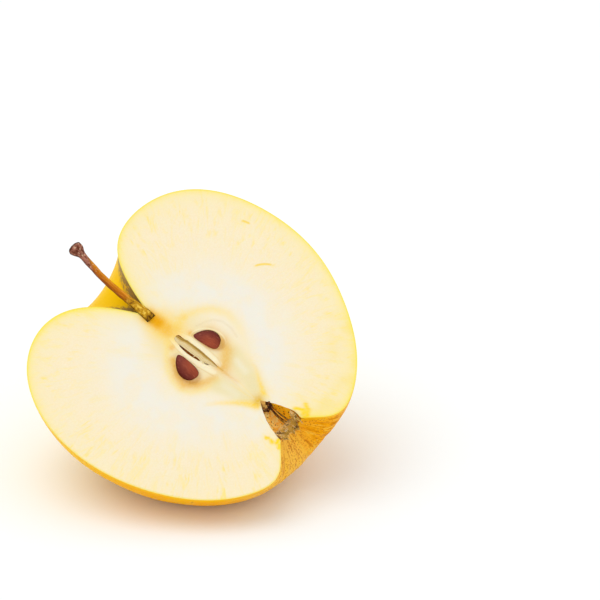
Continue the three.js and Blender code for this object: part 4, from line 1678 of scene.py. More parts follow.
# Pale flesh lies in a ring round the core, and across the inner end of the calyx tube.
PALE_RADIUS = 17.5
PALE_WIDTH = 7.5
pale_ring = np.exp(-(((np.hypot(at[:, 0] - 1, at[:, 1]) - PALE_RADIUS) / PALE_WIDTH) ** 2))
pale_ring = np.maximum(pale_ring, near(at, ((-3.0, -24.0), (8.6, -22.0)), 4.0))
pale_ring *= 1 - near(at, GREEN_MIDDLE, 4.0, 4)
# The flesh is yellow along the skin, less so under the lower lobe.
upper_side = 1 / (1 + np.exp(-at[:, 0] / 4))
stem_end = 1 / (1 + np.exp((14 - at[:, 1]) / 4))
warm_side = np.maximum(upper_side, stem_end)
lower_top = round_mark(at, (-13, 31), 12)
rim_yellow = warm_side * (0.8 + 0.5 * lower_top) * np.exp(-((rind / 1.15) ** 1.3))
rim_warm = (0.35 + 0.65 * warm_side) * np.exp(-((rind / 5.5) ** 1.4))
to_calyx, to_calyx_share = path_distance(at, ARC_TO_CALYX)
line, line_share = path_distance(at, LINE_TO_CALYX)
streak, streak_share = path_distance(at, CORE_STREAK)
glow, glow_share = path_distance(at, STEM_GLOW)
# The sap veins widen and grow stronger on their way to the calyx.
upper_vein = np.exp(-((to_calyx / (0.3 + 0.4 * to_calyx_share)) ** 2)) * to_calyx_share**1.5
lower_vein = np.exp(-((line / (0.3 + 0.75 * line_share)) ** 2))
lower_vein = lower_vein * (0.12 + 0.88 * line_share**0.8)
vein = np.maximum(upper_vein, lower_vein)
for fine in FINE_STREAKS:
    vein = np.maximum(vein, 0.25 * near(at, fine, 0.14))
core_streak = 0.55 * np.exp(-((streak / 1.1) ** 2)) + 0.45 * np.exp(-((streak / 0.3) ** 2))
core_streak *= 0.95 - 0.6 * streak_share
apex = round_mark(at, (2.4, -19.9), 1.5)
strip_upper = near(at, UPPER_STRIP, 0.75, 4)
strip_lower = near(at, LOWER_STRIP, 0.6, 4)
outline_upper = near(at, UPPER_STRIP_EDGE, STRIP_EDGE_WIDTH)
outline_lower = near(at, LOWER_STRIP_EDGE, STRIP_EDGE_WIDTH)
# Below the stem's foot the flesh is stained deep yellow, in a core with a soft margin.
stain_width = 3.7 - 1.0 * np.exp(-((glow_share / 0.22) ** 2))
stain_soft = np.exp(-((glow / stain_width) ** 2.2)) * (1 - 0.2 * glow_share**4)
stain_soft = np.maximum(stain_soft, 0.5 * near(at, GLOW_WING, 1.2))
stain_core = np.exp(-((glow / 1.75) ** 3)) * np.interp(
    glow_share, (0, 0.45, 0.62, 0.8, 1), (1, 1, 0.5, 0.5, 0.2)
)
arc, arc_share = path_distance(at, UPPER_ARC)
upper_arc = np.exp(-((arc / 1.15) ** 2)) * np.interp(arc_share, (0.45, 0.75, 1), (1, 0.5, 0.25))
upper_halo = 0.88 * near(at, UPPER_HALO, 1.75)
halo, halo_share = path_distance(at, LOWER_HALO)
lower_halo = np.exp(-((halo / 1.15) ** 2)) * np.interp(halo_share, (0.75, 1), (1, 0.6))
tips = sum(round_mark(at, tip, 0.85) for tip in SEED_TIPS)
TORN_WIDTH = 0.55
TORN_RAGGED = 0.3
ragged = [TORN_RAGGED * noise.noise(Vector((2.4 * p[0], 2.4 * p[1], 3.0))) for p in at]
torn = 0
for path in TORN:
    off_path = np.maximum(path_distance(at, path)[0] + ragged, 0)
    torn = np.maximum(torn, np.exp(-((off_path / TORN_WIDTH) ** 3)))
flesh_only = at[:, 2] > -0.9
green = np.maximum(near(at, GREEN_MIDDLE, 2.7, 3), near(at, GREEN_LOWER, 2.2, 3))
white = np.maximum(near(at, WHITE_UPPER, 0.95), 0.6 * near(at, WHITE_LOWER, 1.0))
# Each mark: its strength at every vertex, the least and most it may cover, and its colour.
MARKS = {
    "pale_ring": (pale_ring, 0.55, 1.0, "#F0EADC"),
    "core_zone": (np.exp(-((core_reach / 8.2) ** 6)), 0.5, 0.7, "#EFDEAE"),
    "rim_warm": (rim_warm, 0.35, 0.5, "#FAE8A6"),
    "shoulder": (near(at, SHOULDER, 5.0), 0.15, 0.6, "#F8E084"),
    "rim_yellow": (rim_yellow, 0.75, 1.0, "#FCE560"),
    "yellow_arc": (np.maximum(upper_arc, near(at, LOWER_ARC, 0.95)), 0.4, 0.62, "#F9DD80"),
    "grey_arc": (near(at, INNER_ARC, 0.3), 0.12, 0.32, "#DCC594"),
    "green_zone": (green, 0.6, 0.85, "#EADBA6"),
    "white_zone": (white, 0.25, 0.55, "#F4EEDC"),
    "seed_halo": (np.maximum(upper_halo, lower_halo), 0.68, 0.84, "#ECB644"),
    "seed_tip": (tips, 0.6, 0.9, "#EDB65C"),
    "seed_shade": (shaded, 0.7, 0.85, "#C0801C"),
    "strip": (np.maximum(strip_upper, strip_lower), 0.7, 0.9, "#F9EDC9"),
    "strip_edge": (np.maximum(outline_upper, outline_lower), 0.35, 0.5, "#DDB870"),
    "foot_line": (0.8 * near(at, FOOT_LINE, 0.16), 0.5, 0.9, "#B08A4C"),
    "lit_edge": (lit_edge, 0.7, 0.9, "#FEF0C4"),
    "stain_soft": (stain_soft, 0.74, 0.92, "#FBD048"),
    "stain_core": (stain_core, 0.94, 1.0, "#EEA800"),
    "core_streak": (core_streak, 0.6, 0.9, "#E5AE48"),
    "sap_vein": (vein * flesh_only, 0.6, 1.0, "#FFD848"),
    "apex": (apex, 0.7, 0.95, "#E4B41C"),
    "torn": (torn, 0.9, 1.0, "#FFD61C"),
}
for name, (values, _, _, _) in MARKS.items():
    store(half_body, name, np.clip(values, 0, 1))
store(half_body, "fruit", at)
store(half_body, "rind", rind)
# The rays' pattern runs round a circle near the skin, and slowly outwards from the core.
RAY_RADIUS = 33
bearing = np.arctan2(at[:, 1] + 1, at[:, 0] - 1)
from_core = np.hypot(at[:, 0] - 1, at[:, 1] + 1)
round_core = [RAY_RADIUS * np.cos(bearing), RAY_RADIUS * np.sin(bearing), 0.25 * from_core]
store(half_body, "rays", np.stack(round_core, axis=1))

# Flesh: wet cells of a crisp apple, so it is pale, faintly clear and a little glossy. Clouds
# in it are 6 mm across.
flesh, tree = new_material("apple_flesh")
fruit = add(tree, "ShaderNodeAttribute", {"attribute_name": "fruit"}, {})
rays = add(tree, "ShaderNodeAttribute", {"attribute_name": "rays"}, {})
rind_reach = add(tree, "ShaderNodeAttribute", {"attribute_name": "rind"}, {})
cloud = add(
    tree,
    "ShaderNodeTexNoise",
    {},
    {"Vector": fruit.outputs["Vector"], "Scale": 0.16, "Detail": 3.0, "Roughness": 0.5},
)
# Cell texture: grains of 0.5 mm, as coarse as they need to be to show.
cell = add(
    tree,
    "ShaderNodeTexNoise",
    {},
    {"Vector": fruit.outputs["Vector"], "Scale": 1.9, "Detail": 4.0, "Roughness": 0.6},
)
# Rays: cells and sap lie in lines that point to the core, about 1 mm apart near the skin.
ray = add(
    tree,
    "ShaderNodeTexNoise",
    {},
    {"Vector": rays.outputs["Vector"], "Scale": 1.0, "Detail": 3.0, "Distortion": 0.5},
)
body_share = add(
    tree,
    "ShaderNodeMapRange",
    {},
    {"Value": cell.outputs["Fac"], "From Min": 0.3, "From Max": 0.7},
)
body = add(
    tree,
    "ShaderNodeMix",
    {"data_type": "RGBA"},
    {0: body_share.outputs[0], 6: linear("#F7E5BE"), 7: linear("#F9EACD")},
)
# Yellow sap shows along the rays, most of all in the outer flesh, in patches of 5 mm.
outer = add(
    tree,
    "ShaderNodeMapRange",
    {"interpolation_type": "SMOOTHSTEP"},
    {"Value": rind_reach.outputs["Fac"], "From Min": 24.0, "From Max": 3.0, "To Min": 0.1},
)
sap_line = add(
    tree,
    "ShaderNodeMapRange",
    {"interpolation_type": "SMOOTHSTEP"},
    {"Value": ray.outputs["Fac"], "From Min": 0.5, "From Max": 0.72, "To Max": 0.85},
)
sap_patch = add(
    tree,
    "ShaderNodeTexNoise",
    {},
    {"Vector": fruit.outputs["Vector"], "Scale": 0.22, "Detail": 2.0},
)
sap_gate = add(
    tree,
    "ShaderNodeMapRange",
    {"interpolation_type": "SMOOTHSTEP"},
    {"Value": sap_patch.outputs["Fac"], "From Min": 0.46, "From Max": 0.62, "To Min": 0.05},
)
sap_outer = add(
    tree,
    "ShaderNodeMath",
    {"operation": "MULTIPLY"},
    {0: sap_line.outputs[0], 1: outer.outputs[0]},
)
sap_here = add(
    tree,
    "ShaderNodeMath",
    {"operation": "MULTIPLY"},
    {0: sap_outer.outputs[0], 1: sap_gate.outputs[0]},
)
sapped = add(
    tree,
    "ShaderNodeMix",
    {"data_type": "RGBA"},
    {0: sap_here.outputs[0], 6: body.outputs[2], 7: linear("#FDE27C")},
)
# Between the lines the sap lies in ragged flecks, up to 2 mm wide and a few long.
fleck = add(
    tree,
    "ShaderNodeTexNoise",
    {},
    {
        "Vector": rays.outputs["Vector"],
        "Scale": 0.55,
        "Detail": 5.0,
        "Roughness": 0.72,
        "Distortion": 1.2,
    },
)
fleck_share = add(
    tree,
    "ShaderNodeMapRange",
    {"interpolation_type": "SMOOTHSTEP"},
    {"Value": fleck.outputs["Fac"], "From Min": 0.48, "From Max": 0.68, "To Max": 0.6},
)
fleck_here = add(
    tree,
    "ShaderNodeMath",
    {"operation": "MULTIPLY"},
    {0: fleck_share.outputs[0], 1: outer.outputs[0]},
)
flecked = add(
    tree,
    "ShaderNodeMix",
    {"data_type": "RGBA"},
    {0: fleck_here.outputs[0], 6: sapped.outputs[2], 7: linear("#FCE488")},
)
last = flecked
for name, (values, least, most, code) in MARKS.items():
    # Clouds break up the broad marks, and cell grain the small ones.
    broad = name in ("pale_ring", "shoulder")
    grained = add(
        tree,
        "ShaderNodeMapRange",
        {"interpolation_type": "SMOOTHSTEP"},
        {
            "Value": (cloud if broad else cell).outputs["Fac"],
            "From Min": 0.38 if broad else 0.3,
            "From Max": 0.6 if broad else 0.62,
            "To Min": least,
            "To Max": most,
        },
    )
    mark = add(tree, "ShaderNodeAttribute", {"attribute_name": name}, {})
    amount = add(
        tree,
        "ShaderNodeMath",
        {"operation": "MULTIPLY", "use_clamp": True},
        {0: mark.outputs["Fac"], 1: grained.outputs[0]},
    )
    last = add(
        tree,
        "ShaderNodeMix",
        {"data_type": "RGBA"},
        {0: amount.outputs[0], 6: last.outputs[2], 7: linear(code)},
    )
# Two vascular bundles lie in the face of the upper lobe and show as short yellow arcs: the
# centre and radius of each arc, its middle, and how far it reaches either way.
BUNDLES = (
    ((24.97, -0.38, 0), 6.8, (29.6, 4.6, 0), 2.9),
    ((28.5, 13.6, 0), 7.0, (35.1, 16.0, 0), 1.5),
)
for centre, radius, middle, reach in BUNDLES:
    from_centre = add(
        tree,
        "ShaderNodeVectorMath",
        {"operation": "DISTANCE"},
        {0: fruit.outputs["Vector"], 1: centre},
    )
    off_arc = add(
        tree,
        "ShaderNodeMath",
        {"operation": "SUBTRACT"},
        {0: from_centre.outputs["Value"], 1: radius},
    )
    beside_arc = add(tree, "ShaderNodeMath", {"operation": "ABSOLUTE"}, {0: off_arc.outputs[0]})
    on_arc = add(
        tree,
        "ShaderNodeMapRange",
        {"interpolation_type": "SMOOTHSTEP"},
        {"Value": beside_arc.outputs[0], "From Min": 0.5, "From Max": 0.05, "To Max": 0.9},
    )
    from_middle = add(
        tree,
        "ShaderNodeVectorMath",
        {"operation": "DISTANCE"},
        {0: fruit.outputs["Vector"], 1: middle},
    )
    in_reach = add(
        tree,
        "ShaderNodeMapRange",
        {"interpolation_type": "SMOOTHSTEP"},
        {"Value": from_middle.outputs["Value"], "From Min": reach, "From Max": 0.5 * reach},
    )
    bundle = add(
        tree,
        "ShaderNodeMath",
        {"operation": "MULTIPLY"},
        {0: on_arc.outputs[0], 1: in_reach.outputs[0]},
    )
    last = add(
        tree,
        "ShaderNodeMix",
        {"data_type": "RGBA"},
        {0: bundle.outputs[0], 6: last.outputs[2], 7: linear("#FBD75A")},
    )
# The cut edge of the skin shows as a thin bright line.
cut_skin = add(
    tree,
    "ShaderNodeMapRange",
    {"interpolation_type": "SMOOTHSTEP"},
    {"Value": rind_reach.outputs["Fac"], "From Min": 0.55, "From Max": 0.1, "To Max": 0.6},
)
edged = add(
    tree,
    "ShaderNodeMix",
    {"data_type": "RGBA"},
    {0: cut_skin.outputs[0], 6: last.outputs[2], 7: linear("#F3DF4A")},
)
gloss = add(
    tree,
    "ShaderNodeMapRange",
    {},
    {"Value": cell.outputs["Fac"], "To Min": 0.38, "To Max": 0.62},
)
relief = add(
    tree,
    "ShaderNodeBump",
    {},
    {"Strength": 0.35, "Distance": 0.00014, "Height": cell.outputs["Fac"]},
)
surface = add(
    tree,
    "ShaderNodeBsdfPrincipled",
    {},
    {
        "Base Color": edged.outputs[2],
        "Roughness": gloss.outputs[0],
        "IOR": 1.38,
        "Specular IOR Level": 0.12,
        "Subsurface Weight": 0.12,
        "Subsurface Radius": (1.0, 0.7, 0.35),
        "Subsurface Scale": 0.0006,
        "Normal": relief.outputs[0],
    },
)
add(tree, "ShaderNodeOutputMaterial", {}, {"Surface": surface.outputs[0]})

# Marks on the skin: how near the calyx it lies, and where russet, laid with painted shadow,
# spreads in the stem cavity.
from_calyx = np.hypot(at[:, 0] - CALYX_SHIFT, at[:, 2])
calyx_end = np.clip((-19 - at[:, 1]) / 9, 0, 1) * np.exp(-((from_calyx / 21) ** 4))
store(half_body, "calyx_end", calyx_end)
store(half_body, "calyx_tan", np.clip((6.5 - at[:, 0]) / 6, 0, 1))
PUCKER_RADIUS = 22
bearing = np.arctan2(-at[:, 2], at[:, 0] - CALYX_SHIFT)
round_calyx = [
    PUCKER_RADIUS * np.cos(bearing),
    PUCKER_RADIUS * np.sin(bearing),
    0.4 * from_calyx,
]
store(half_body, "puckers", np.stack(round_calyx, axis=1))
around_core = np.arctan2(-at[:, 2], at[:, 0])
out_of_core = np.hypot(at[:, 0], at[:, 2])
in_cavity = np.exp(-((out_of_core / 12.5) ** 6)) * (at[:, 1] > 8)
upper_wedge = 1 - around_core / (0.55 + 0.14 * np.clip(35 - at[:, 1], 0, None))
lower_wedge = 1 - (np.pi - around_core) / (0.45 + 0.13 * np.clip(30 - at[:, 1], 0, None))
wedge = np.maximum(np.clip(upper_wedge, 0, 1), 0.9 * np.clip(lower_wedge, 0, 1))
store(half_body, "russet_and_shadow", in_cavity * wedge)
store(half_body, "cavity", np.exp(-((out_of_core / 17.0) ** 6)) * (at[:, 1] > 8))

# Apple skin: a waxed, smooth cuticle over yellow cells, with brown pores and, at both ends,
# rough russet, with painted shadow over it in the stem cavity. Its clouds are 12 mm across and
# its mottle 1 mm.
skin_wax, tree = new_material("apple_skin")
fruit = add(tree, "ShaderNodeAttribute", {"attribute_name": "fruit"}, {})
calyx_mark = add(tree, "ShaderNodeAttribute", {"attribute_name": "calyx_end"}, {})
tan_mark = add(tree, "ShaderNodeAttribute", {"attribute_name": "calyx_tan"}, {})
russet_shadow_mark = add(tree, "ShaderNodeAttribute", {"attribute_name": "russet_and_shadow"}, {})
cavity_mark = add(tree, "ShaderNodeAttribute", {"attribute_name": "cavity"}, {})
puckers = add(tree, "ShaderNodeAttribute", {"attribute_name": "puckers"}, {})
split = add(tree, "ShaderNodeSeparateXYZ", {}, {"Vector": fruit.outputs["Vector"]})
cloud = add(
    tree,
    "ShaderNodeTexNoise",
    {},
    {"Vector": fruit.outputs["Vector"], "Scale": 0.08, "Detail": 4.0},
)
mottle = add(
    tree,
    "ShaderNodeTexNoise",
    {},
    {"Vector": fruit.outputs["Vector"], "Scale": 0.9, "Detail": 5.0, "Roughness": 0.6},
)
height = add(
    tree,
    "ShaderNodeMapRange",
    {"interpolation_type": "SMOOTHSTEP"},
    {"Value": split.outputs["Y"], "From Min": -26.0, "From Max": 26.0},
)
yellow = add(
    tree,
    "ShaderNodeMix",
    {"data_type": "RGBA"},
    {0: height.outputs[0], 6: linear("#FDB200"), 7: linear("#FECB02")},
)
cloud_share = add(
    tree,
    "ShaderNodeMapRange",
    {"interpolation_type": "SMOOTHSTEP"},
    {"Value": cloud.outputs["Fac"], "From Min": 0.45, "From Max": 0.68, "To Max": 0.55},
)
yellow_cloud = add(
    tree,
    "ShaderNodeMix",
    {"data_type": "RGBA"},
    {0: cloud_share.outputs[0], 6: yellow.outputs[2], 7: linear("#FDCC18")},
)
mottle_share = add(
    tree,
    "ShaderNodeMapRange",
    {},
    {"Value": mottle.outputs["Fac"], "From Min": 0.45, "From Max": 0.75, "To Max": 0.35},
)
yellow_mottle = add(
    tree,
    "ShaderNodeMix",
    {"data_type": "RGBA"},
    {0: mottle_share.outputs[0], 6: yellow_cloud.outputs[2], 7: linear("#F2A008")},
)
# Pores: red-brown dots half a millimetre across and 2 to 4 mm apart, in a faint pale ring.
pore = add(
    tree,
    "ShaderNodeTexVoronoi",
    {"feature": "F1"},
    {"Vector": fruit.outputs["Vector"], "Scale": 0.42, "Randomness": 1.0},
)
pore_ring = add(
    tree,
    "ShaderNodeMapRange",
    {"interpolation_type": "SMOOTHSTEP"},
    {"Value": pore.outputs["Distance"], "From Min": 0.3, "From Max": 0.16, "To Max": 0.18},
)
ringed = add(
    tree,
    "ShaderNodeMix",
    {"data_type": "RGBA"},
    {0: pore_ring.outputs[0], 6: yellow_mottle.outputs[2], 7: linear("#FBE37A")},
)
pore_dot = add(
    tree,
    "ShaderNodeMapRange",
    {"interpolation_type": "SMOOTHSTEP"},
    {"Value": pore.outputs["Distance"], "From Min": 0.15, "From Max": 0.08, "To Max": 0.88},
)
dotted = add(
    tree,
    "ShaderNodeMix",
    {"data_type": "RGBA"},
    {0: pore_dot.outputs[0], 6: ringed.outputs[2], 7: linear("#9E3C0E")},
)
# Calyx end: a golden ground, tan on one side. Ribs are painted light and furrows painted shade;
# they run out of the basin, about 1 mm apart and 3 mm long, under rough brown dots.
calyx_tone = add(
    tree,
    "ShaderNodeMix",
    {"data_type": "RGBA"},
    {0: tan_mark.outputs["Fac"], 6: linear("#FAA902"), 7: linear("#FFC44C")},
)
calyx_ground = add(
    tree,
    "ShaderNodeMix",
    {"data_type": "RGBA"},
    {0: calyx_mark.outputs["Fac"], 6: dotted.outputs[2], 7: calyx_tone.outputs[2]},
)
furrow = add(
    tree,
    "ShaderNodeTexNoise",
    {},
    {
        "Vector": puckers.outputs["Vector"],
        "Scale": 0.75,
        "Detail": 2.5,
        "Roughness": 0.6,
        "Distortion": 0.7,
    },
)
# Painted highlight on the ribs.
rib_light_share = add(
    tree,
    "ShaderNodeMapRange",
    {"interpolation_type": "SMOOTHSTEP"},
    {"Value": furrow.outputs["Fac"], "From Min": 0.48, "From Max": 0.36, "To Max": 0.9},
)
rib_light_here = add(
    tree,
    "ShaderNodeMath",
    {"operation": "MULTIPLY"},
    {0: rib_light_share.outputs[0], 1: calyx_mark.outputs["Fac"]},
)
rib_lit = add(
    tree,
    "ShaderNodeMix",
    {"data_type": "RGBA"},
    {0: rib_light_here.outputs[0], 6: calyx_ground.outputs[2], 7: linear("#FCC540")},
)
# Painted shade in the furrows.
furrow_shade_share = add(
    tree,
    "ShaderNodeMapRange",
    {"interpolation_type": "SMOOTHSTEP"},
    {"Value": furrow.outputs["Fac"], "From Min": 0.52, "From Max": 0.66, "To Max": 0.75},
)
furrow_shade_here = add(
    tree,
    "ShaderNodeMath",
    {"operation": "MULTIPLY"},
    {0: furrow_shade_share.outputs[0], 1: calyx_mark.outputs["Fac"]},
)
furrow_shaded = add(
    tree,
    "ShaderNodeMix",
    {"data_type": "RGBA"},
    {0: furrow_shade_here.outputs[0], 6: rib_lit.outputs[2], 7: linear("#C4700A")},
)
# The dots are 0.5 mm across and thickest in patches of 4 mm.
dot = add(
    tree,
    "ShaderNodeTexVoronoi",
    {"feature": "F1"},
    {"Vector": fruit.outputs["Vector"], "Scale": 1.9, "Randomness": 1.0},
)
patches = add(
    tree,
    "ShaderNodeTexNoise",
    {},
    {"Vector": fruit.outputs["Vector"], "Scale": 0.28, "Detail": 3.0},
)
patch_share = add(
    tree,
    "ShaderNodeMapRange",
    {"interpolation_type": "SMOOTHSTEP"},
    {"Value": patches.outputs["Fac"], "From Min": 0.4, "From Max": 0.56, "To Min": 0.4},
)
dot_share = add(
    tree,
    "ShaderNodeMapRange",
    {"interpolation_type": "SMOOTHSTEP"},
    {"Value": dot.outputs["Distance"], "From Min": 0.52, "From Max": 0.2, "To Max": 0.68},
)
dot_patch = add(
    tree,
    "ShaderNodeMath",
    {"operation": "MULTIPLY"},
    {0: dot_share.outputs[0], 1: patch_share.outputs[0]},
)
dot_here = add(
    tree,
    "ShaderNodeMath",
    {"operation": "MULTIPLY"},
    {0: dot_patch.outputs[0], 1: calyx_mark.outputs["Fac"]},
)
netted = add(
    tree,
    "ShaderNodeMix",
    {"data_type": "RGBA"},
    {0: dot_here.outputs[0], 6: furrow_shaded.outputs[2], 7: linear("#B85812")},
)
# Along the cut the skin is smooth and bright.
by_cut = add(
    tree,
    "ShaderNodeMapRange",
    {"interpolation_type": "SMOOTHSTEP"},
    {"Value": split.outputs["Z"], "From Min": -2.2, "From Max": -0.5, "To Max": 0.75},
)
banded = add(
    tree,
    "ShaderNodeMix",
    {"data_type": "RGBA"},
    {0: by_cut.outputs[0], 6: netted.outputs[2], 7: linear("#FDC510")},
)
# Stem cavity: the yellow is deep and clear there, and a grey-brown film spreads up from the stem
# in streaks 0.6 mm wide and 3 mm long, partly russet and partly painted shadow of the stem.
deepened = add(
    tree,
    "ShaderNodeMix",
    {"data_type": "RGBA"},
    {0: cavity_mark.outputs["Fac"], 6: banded.outputs[2], 7: linear("#FFCC00")},
)
streak_place = add(
    tree,
    "ShaderNodeMapping",
    {},
    {"Vector": fruit.outputs["Vector"], "Scale": (1.8, 0.3, 1.8)},
)
streaks = add(
    tree,
    "ShaderNodeTexNoise",
    {},
    {"Vector": streak_place.outputs[0], "Scale": 1.0, "Detail": 3.0},
)
film_shadow_edge = add(
    tree,
    "ShaderNodeMapRange",
    {},
    {
        "Value": streaks.outputs["Fac"],
        "From Min": 0.3,
        "From Max": 0.7,
        "To Min": 0.3,
        "To Max": 1.7,
    },
)
film_shadow_reach = add(
    tree,
    "ShaderNodeMath",
    {"operation": "MULTIPLY"},
    {0: russet_shadow_mark.outputs["Fac"], 1: film_shadow_edge.outputs[0]},
)
film_and_shadow = add(
    tree,
    "ShaderNodeMapRange",
    {"interpolation_type": "SMOOTHSTEP"},
    {"Value": film_shadow_reach.outputs[0], "From Min": 0.06, "From Max": 0.55, "To Max": 0.86},
)
russeted_and_shadowed = add(
    tree,
    "ShaderNodeMix",
    {"data_type": "RGBA"},
    {0: film_and_shadow.outputs[0], 6: deepened.outputs[2], 7: linear("#887048")},
)
gloss = add(
    tree,
    "ShaderNodeMapRange",
    {},
    {"Value": mottle.outputs["Fac"], "To Min": 0.24, "To Max": 0.46},
)
bump_height = add(
    tree,
    "ShaderNodeMath",
    {"operation": "ADD"},
    {0: dot_here.outputs[0], 1: mottle.outputs["Fac"]},
)
relief = add(
    tree,
    "ShaderNodeBump",
    {},
    {"Strength": 0.3, "Distance": 0.00004, "Height": bump_height.outputs[0]},
)
surface = add(
    tree,
    "ShaderNodeBsdfPrincipled",
    {},
    {
        "Base Color": russeted_and_shadowed.outputs[2],
        "Roughness": gloss.outputs[0],
        "IOR": 1.42,
        "Specular IOR Level": 0.03,
        "Subsurface Weight": 0.06,
        "Subsurface Radius": (1.0, 0.6, 0.2),
        "Subsurface Scale": 0.0006,
        "Normal": relief.outputs[0],
    },
)
add(tree, "ShaderNodeOutputMaterial", {}, {"Surface": surface.outputs[0]})

# Linings: the smooth inside of the core round the seeds, and the stem's bed, red-brown in blots
# of 1 mm as painted shade for the thin gaps round the seeds and the stem; and the parchment deep
# in the slit, matt and dark with dried juice in blots under 1 mm. For each, the scale of its
# blots, its dark and light colour, its roughness and its shine.
LININGS = {
    "socket_shade_lining": (0.9, "#5A2414", "#A0622E", 0.4, 0.5),
    "chamber_lining": (1.2, "#A85A10", "#E89A40", 0.8, 0.0),
}
linings = []
for name, (blot_scale, dark, light, roughness, shine) in LININGS.items():
    lining, tree = new_material(name)
    fruit = add(tree, "ShaderNodeAttribute", {"attribute_name": "fruit"}, {})
    blots = add(
        tree,
        "ShaderNodeTexNoise",
        {},
        {"Vector": fruit.outputs["Vector"], "Scale": blot_scale, "Detail": 4.0},
    )
    stained = add(
        tree,
        "ShaderNodeMix",
        {"data_type": "RGBA"},
        {0: blots.outputs["Fac"], 6: linear(dark), 7: linear(light)},
    )
    relief = add(
        tree,
        "ShaderNodeBump",
        {},
        {"Strength": 0.2, "Distance": 0.00008, "Height": blots.outputs["Fac"]},
    )
    surface = add(
        tree,
        "ShaderNodeBsdfPrincipled",
        {},
        {
            "Base Color": stained.outputs[2],
            "Roughness": roughness,
            "Specular IOR Level": shine,
            "Normal": relief.outputs[0],
        },
    )
    add(tree, "ShaderNodeOutputMaterial", {}, {"Surface": surface.outputs[0]})
    linings.append(lining)

# Tube wall: corky tissue, tan below and orange above, with dark pits and grains of 1 mm. It
# is a thin layer over clear flesh, so light comes through it.
tube_wall, tree = new_material("calyx_tube_cork")
fruit = add(tree, "ShaderNodeAttribute", {"attribute_name": "fruit"}, {})
split = add(tree, "ShaderNodeSeparateXYZ", {}, {"Vector": fruit.outputs["Vector"]})
cork = add(
    tree,
    "ShaderNodeTexNoise",
    {},
    {"Vector": fruit.outputs["Vector"], "Scale": 1.1, "Detail": 5.0, "Roughness": 0.65},
)
cork_share = add(
    tree,
    "ShaderNodeMapRange",
    {"interpolation_type": "SMOOTHSTEP"},
    {"Value": cork.outputs["Fac"], "From Min": 0.38, "From Max": 0.62},
)
tan_low = add(
    tree,
    "ShaderNodeMix",
    {"data_type": "RGBA"},
    {0: cork_share.outputs[0], 6: linear("#FFAC30"), 7: linear("#FFD880")},
)
tan_high = add(
    tree,
    "ShaderNodeMix",
    {"data_type": "RGBA"},
    {0: cork_share.outputs[0], 6: linear("#FFAA0C"), 7: linear("#FFC024")},
)
high_side = add(
    tree,
    "ShaderNodeMapRange",
    {"interpolation_type": "SMOOTHSTEP"},
    {"Value": split.outputs["X"], "From Min": 2.0, "From Max": 4.6},
)
tan = add(
    tree,
    "ShaderNodeMix",
    {"data_type": "RGBA"},
    {0: high_side.outputs[0], 6: tan_low.outputs[2], 7: tan_high.outputs[2]},
)
# Pits are 0.4 mm across and 0.7 mm apart.
pit = add(
    tree,
    "ShaderNodeTexVoronoi",
    {"feature": "F1"},
    {"Vector": fruit.outputs["Vector"], "Scale": 1.45, "Randomness": 1.0},
)
pit_dot = add(
    tree,
    "ShaderNodeMapRange",
    {"interpolation_type": "SMOOTHSTEP"},
    {"Value": pit.outputs["Distance"], "From Min": 0.32, "From Max": 0.18, "To Max": 0.9},
)
pitted = add(
    tree,
    "ShaderNodeMix",
    {"data_type": "RGBA"},
    {0: pit_dot.outputs[0], 6: tan.outputs[2], 7: linear("#6E2A08")},
)
to_end = add(
    tree,
    "ShaderNodeMapRange",
    {"interpolation_type": "SMOOTHSTEP"},
    {"Value": split.outputs["Y"], "From Min": -23.5, "From Max": -20.3, "To Max": 0.65},
)
ended = add(
    tree,
    "ShaderNodeMix",
    {"data_type": "RGBA"},
    {0: to_end.outputs[0], 6: pitted.outputs[2], 7: linear("#8E5A24")},
)
relief = add(
    tree,
    "ShaderNodeBump",
    {},
    {"Strength": 0.6, "Distance": 0.0002, "Height": cork.outputs["Fac"]},
)
surface = add(
    tree,
    "ShaderNodeBsdfPrincipled",
    {},
    {
        "Base Color": ended.outputs[2],
        "Roughness": 0.75,
        "Specular IOR Level": 0.05,
        "Subsurface Weight": 0.3,
        "Subsurface Radius": (1.2, 0.8, 0.4),
        "Subsurface Scale": 0.001,
        "Normal": relief.outputs[0],
    },
)
add(tree, "ShaderNodeOutputMaterial", {}, {"Surface": surface.outputs[0]})

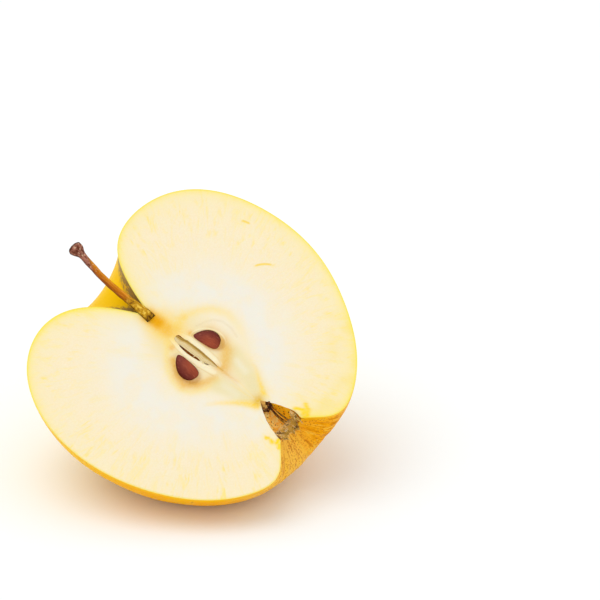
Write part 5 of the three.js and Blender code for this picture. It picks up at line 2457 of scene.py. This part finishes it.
# Each face takes the tissue it was cut in.
CORE_RADIUS = 14
CORE_DEPTH = 6
FLESH, SKIN, SOCKET, CHAMBER, TUBE = range(5)
mesh = half_body.data
mesh.materials.clear()
for material in (flesh, skin_wax, *linings, tube_wall):
    mesh.materials.append(material)
count = len(mesh.polygons)
centres = np.empty(count * 3, dtype=np.float32)
mesh.polygons.foreach_get("center", centres)
centres = in_fruit(centres.reshape(-1, 3).astype(float))
normals = np.empty(count * 3, dtype=np.float32)
mesh.polygons.foreach_get("normal", normals)
normals = normals.reshape(-1, 3).astype(float) @ POSE
tissue = np.full(count, SKIN)
in_core = (np.hypot(centres[:, 0], centres[:, 1]) < CORE_RADIUS) & (centres[:, 2] > -CORE_DEPTH)
tissue[in_core] = CHAMBER
for seed in SEEDS.values():
    tissue[in_core & (seed_distance(centres, seed)[0] < 0.2)] = SOCKET
tube_reach = TUBE_END[1] - centres[:, 1]
tube_size = tube_radius(tube_reach)
tube_gap = np.hypot(centres[:, 0] - TUBE_END[0], centres[:, 2]) - tube_size
in_tube = (tube_reach > -0.2) & (tube_reach < TUBE_LENGTH) & (tube_gap < 0.1 * tube_size + 0.05)
tissue[in_tube & (centres[:, 2] < 0.6)] = TUBE
foot_height = STEM_LINE[0][1]
knob_height = STEM_LINE[-1][1]
along = np.clip((centres[:, 1] - foot_height) / (knob_height - foot_height), 0, 1)
stem_line = stem_centres(along)
bed_gap = np.hypot(centres[:, 0] - stem_line[:, 0], centres[:, 2] - stem_line[:, 2])
bed_gap = bed_gap - stem_radius(along) - BED_GAP
above_foot = centres[:, 1] - foot_height
in_bed = (above_foot > -0.5) & (above_foot < STEM_BED + 0.3) & (np.abs(bed_gap) < 0.06)
# The stem's bed takes the socket lining, painted shade for the gap round the stem.
tissue[in_bed] = SOCKET
on_cut = (normals[:, 2] > 0.6) & (centres[:, 2] > -0.75)
tissue[on_cut] = FLESH
mesh.polygons.foreach_set("material_index", tissue.astype(np.int32))
mesh.shade_smooth()
mesh.set_sharp_from_angle(angle=math.radians(38))
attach(half_body, "root")
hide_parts("apple_half")
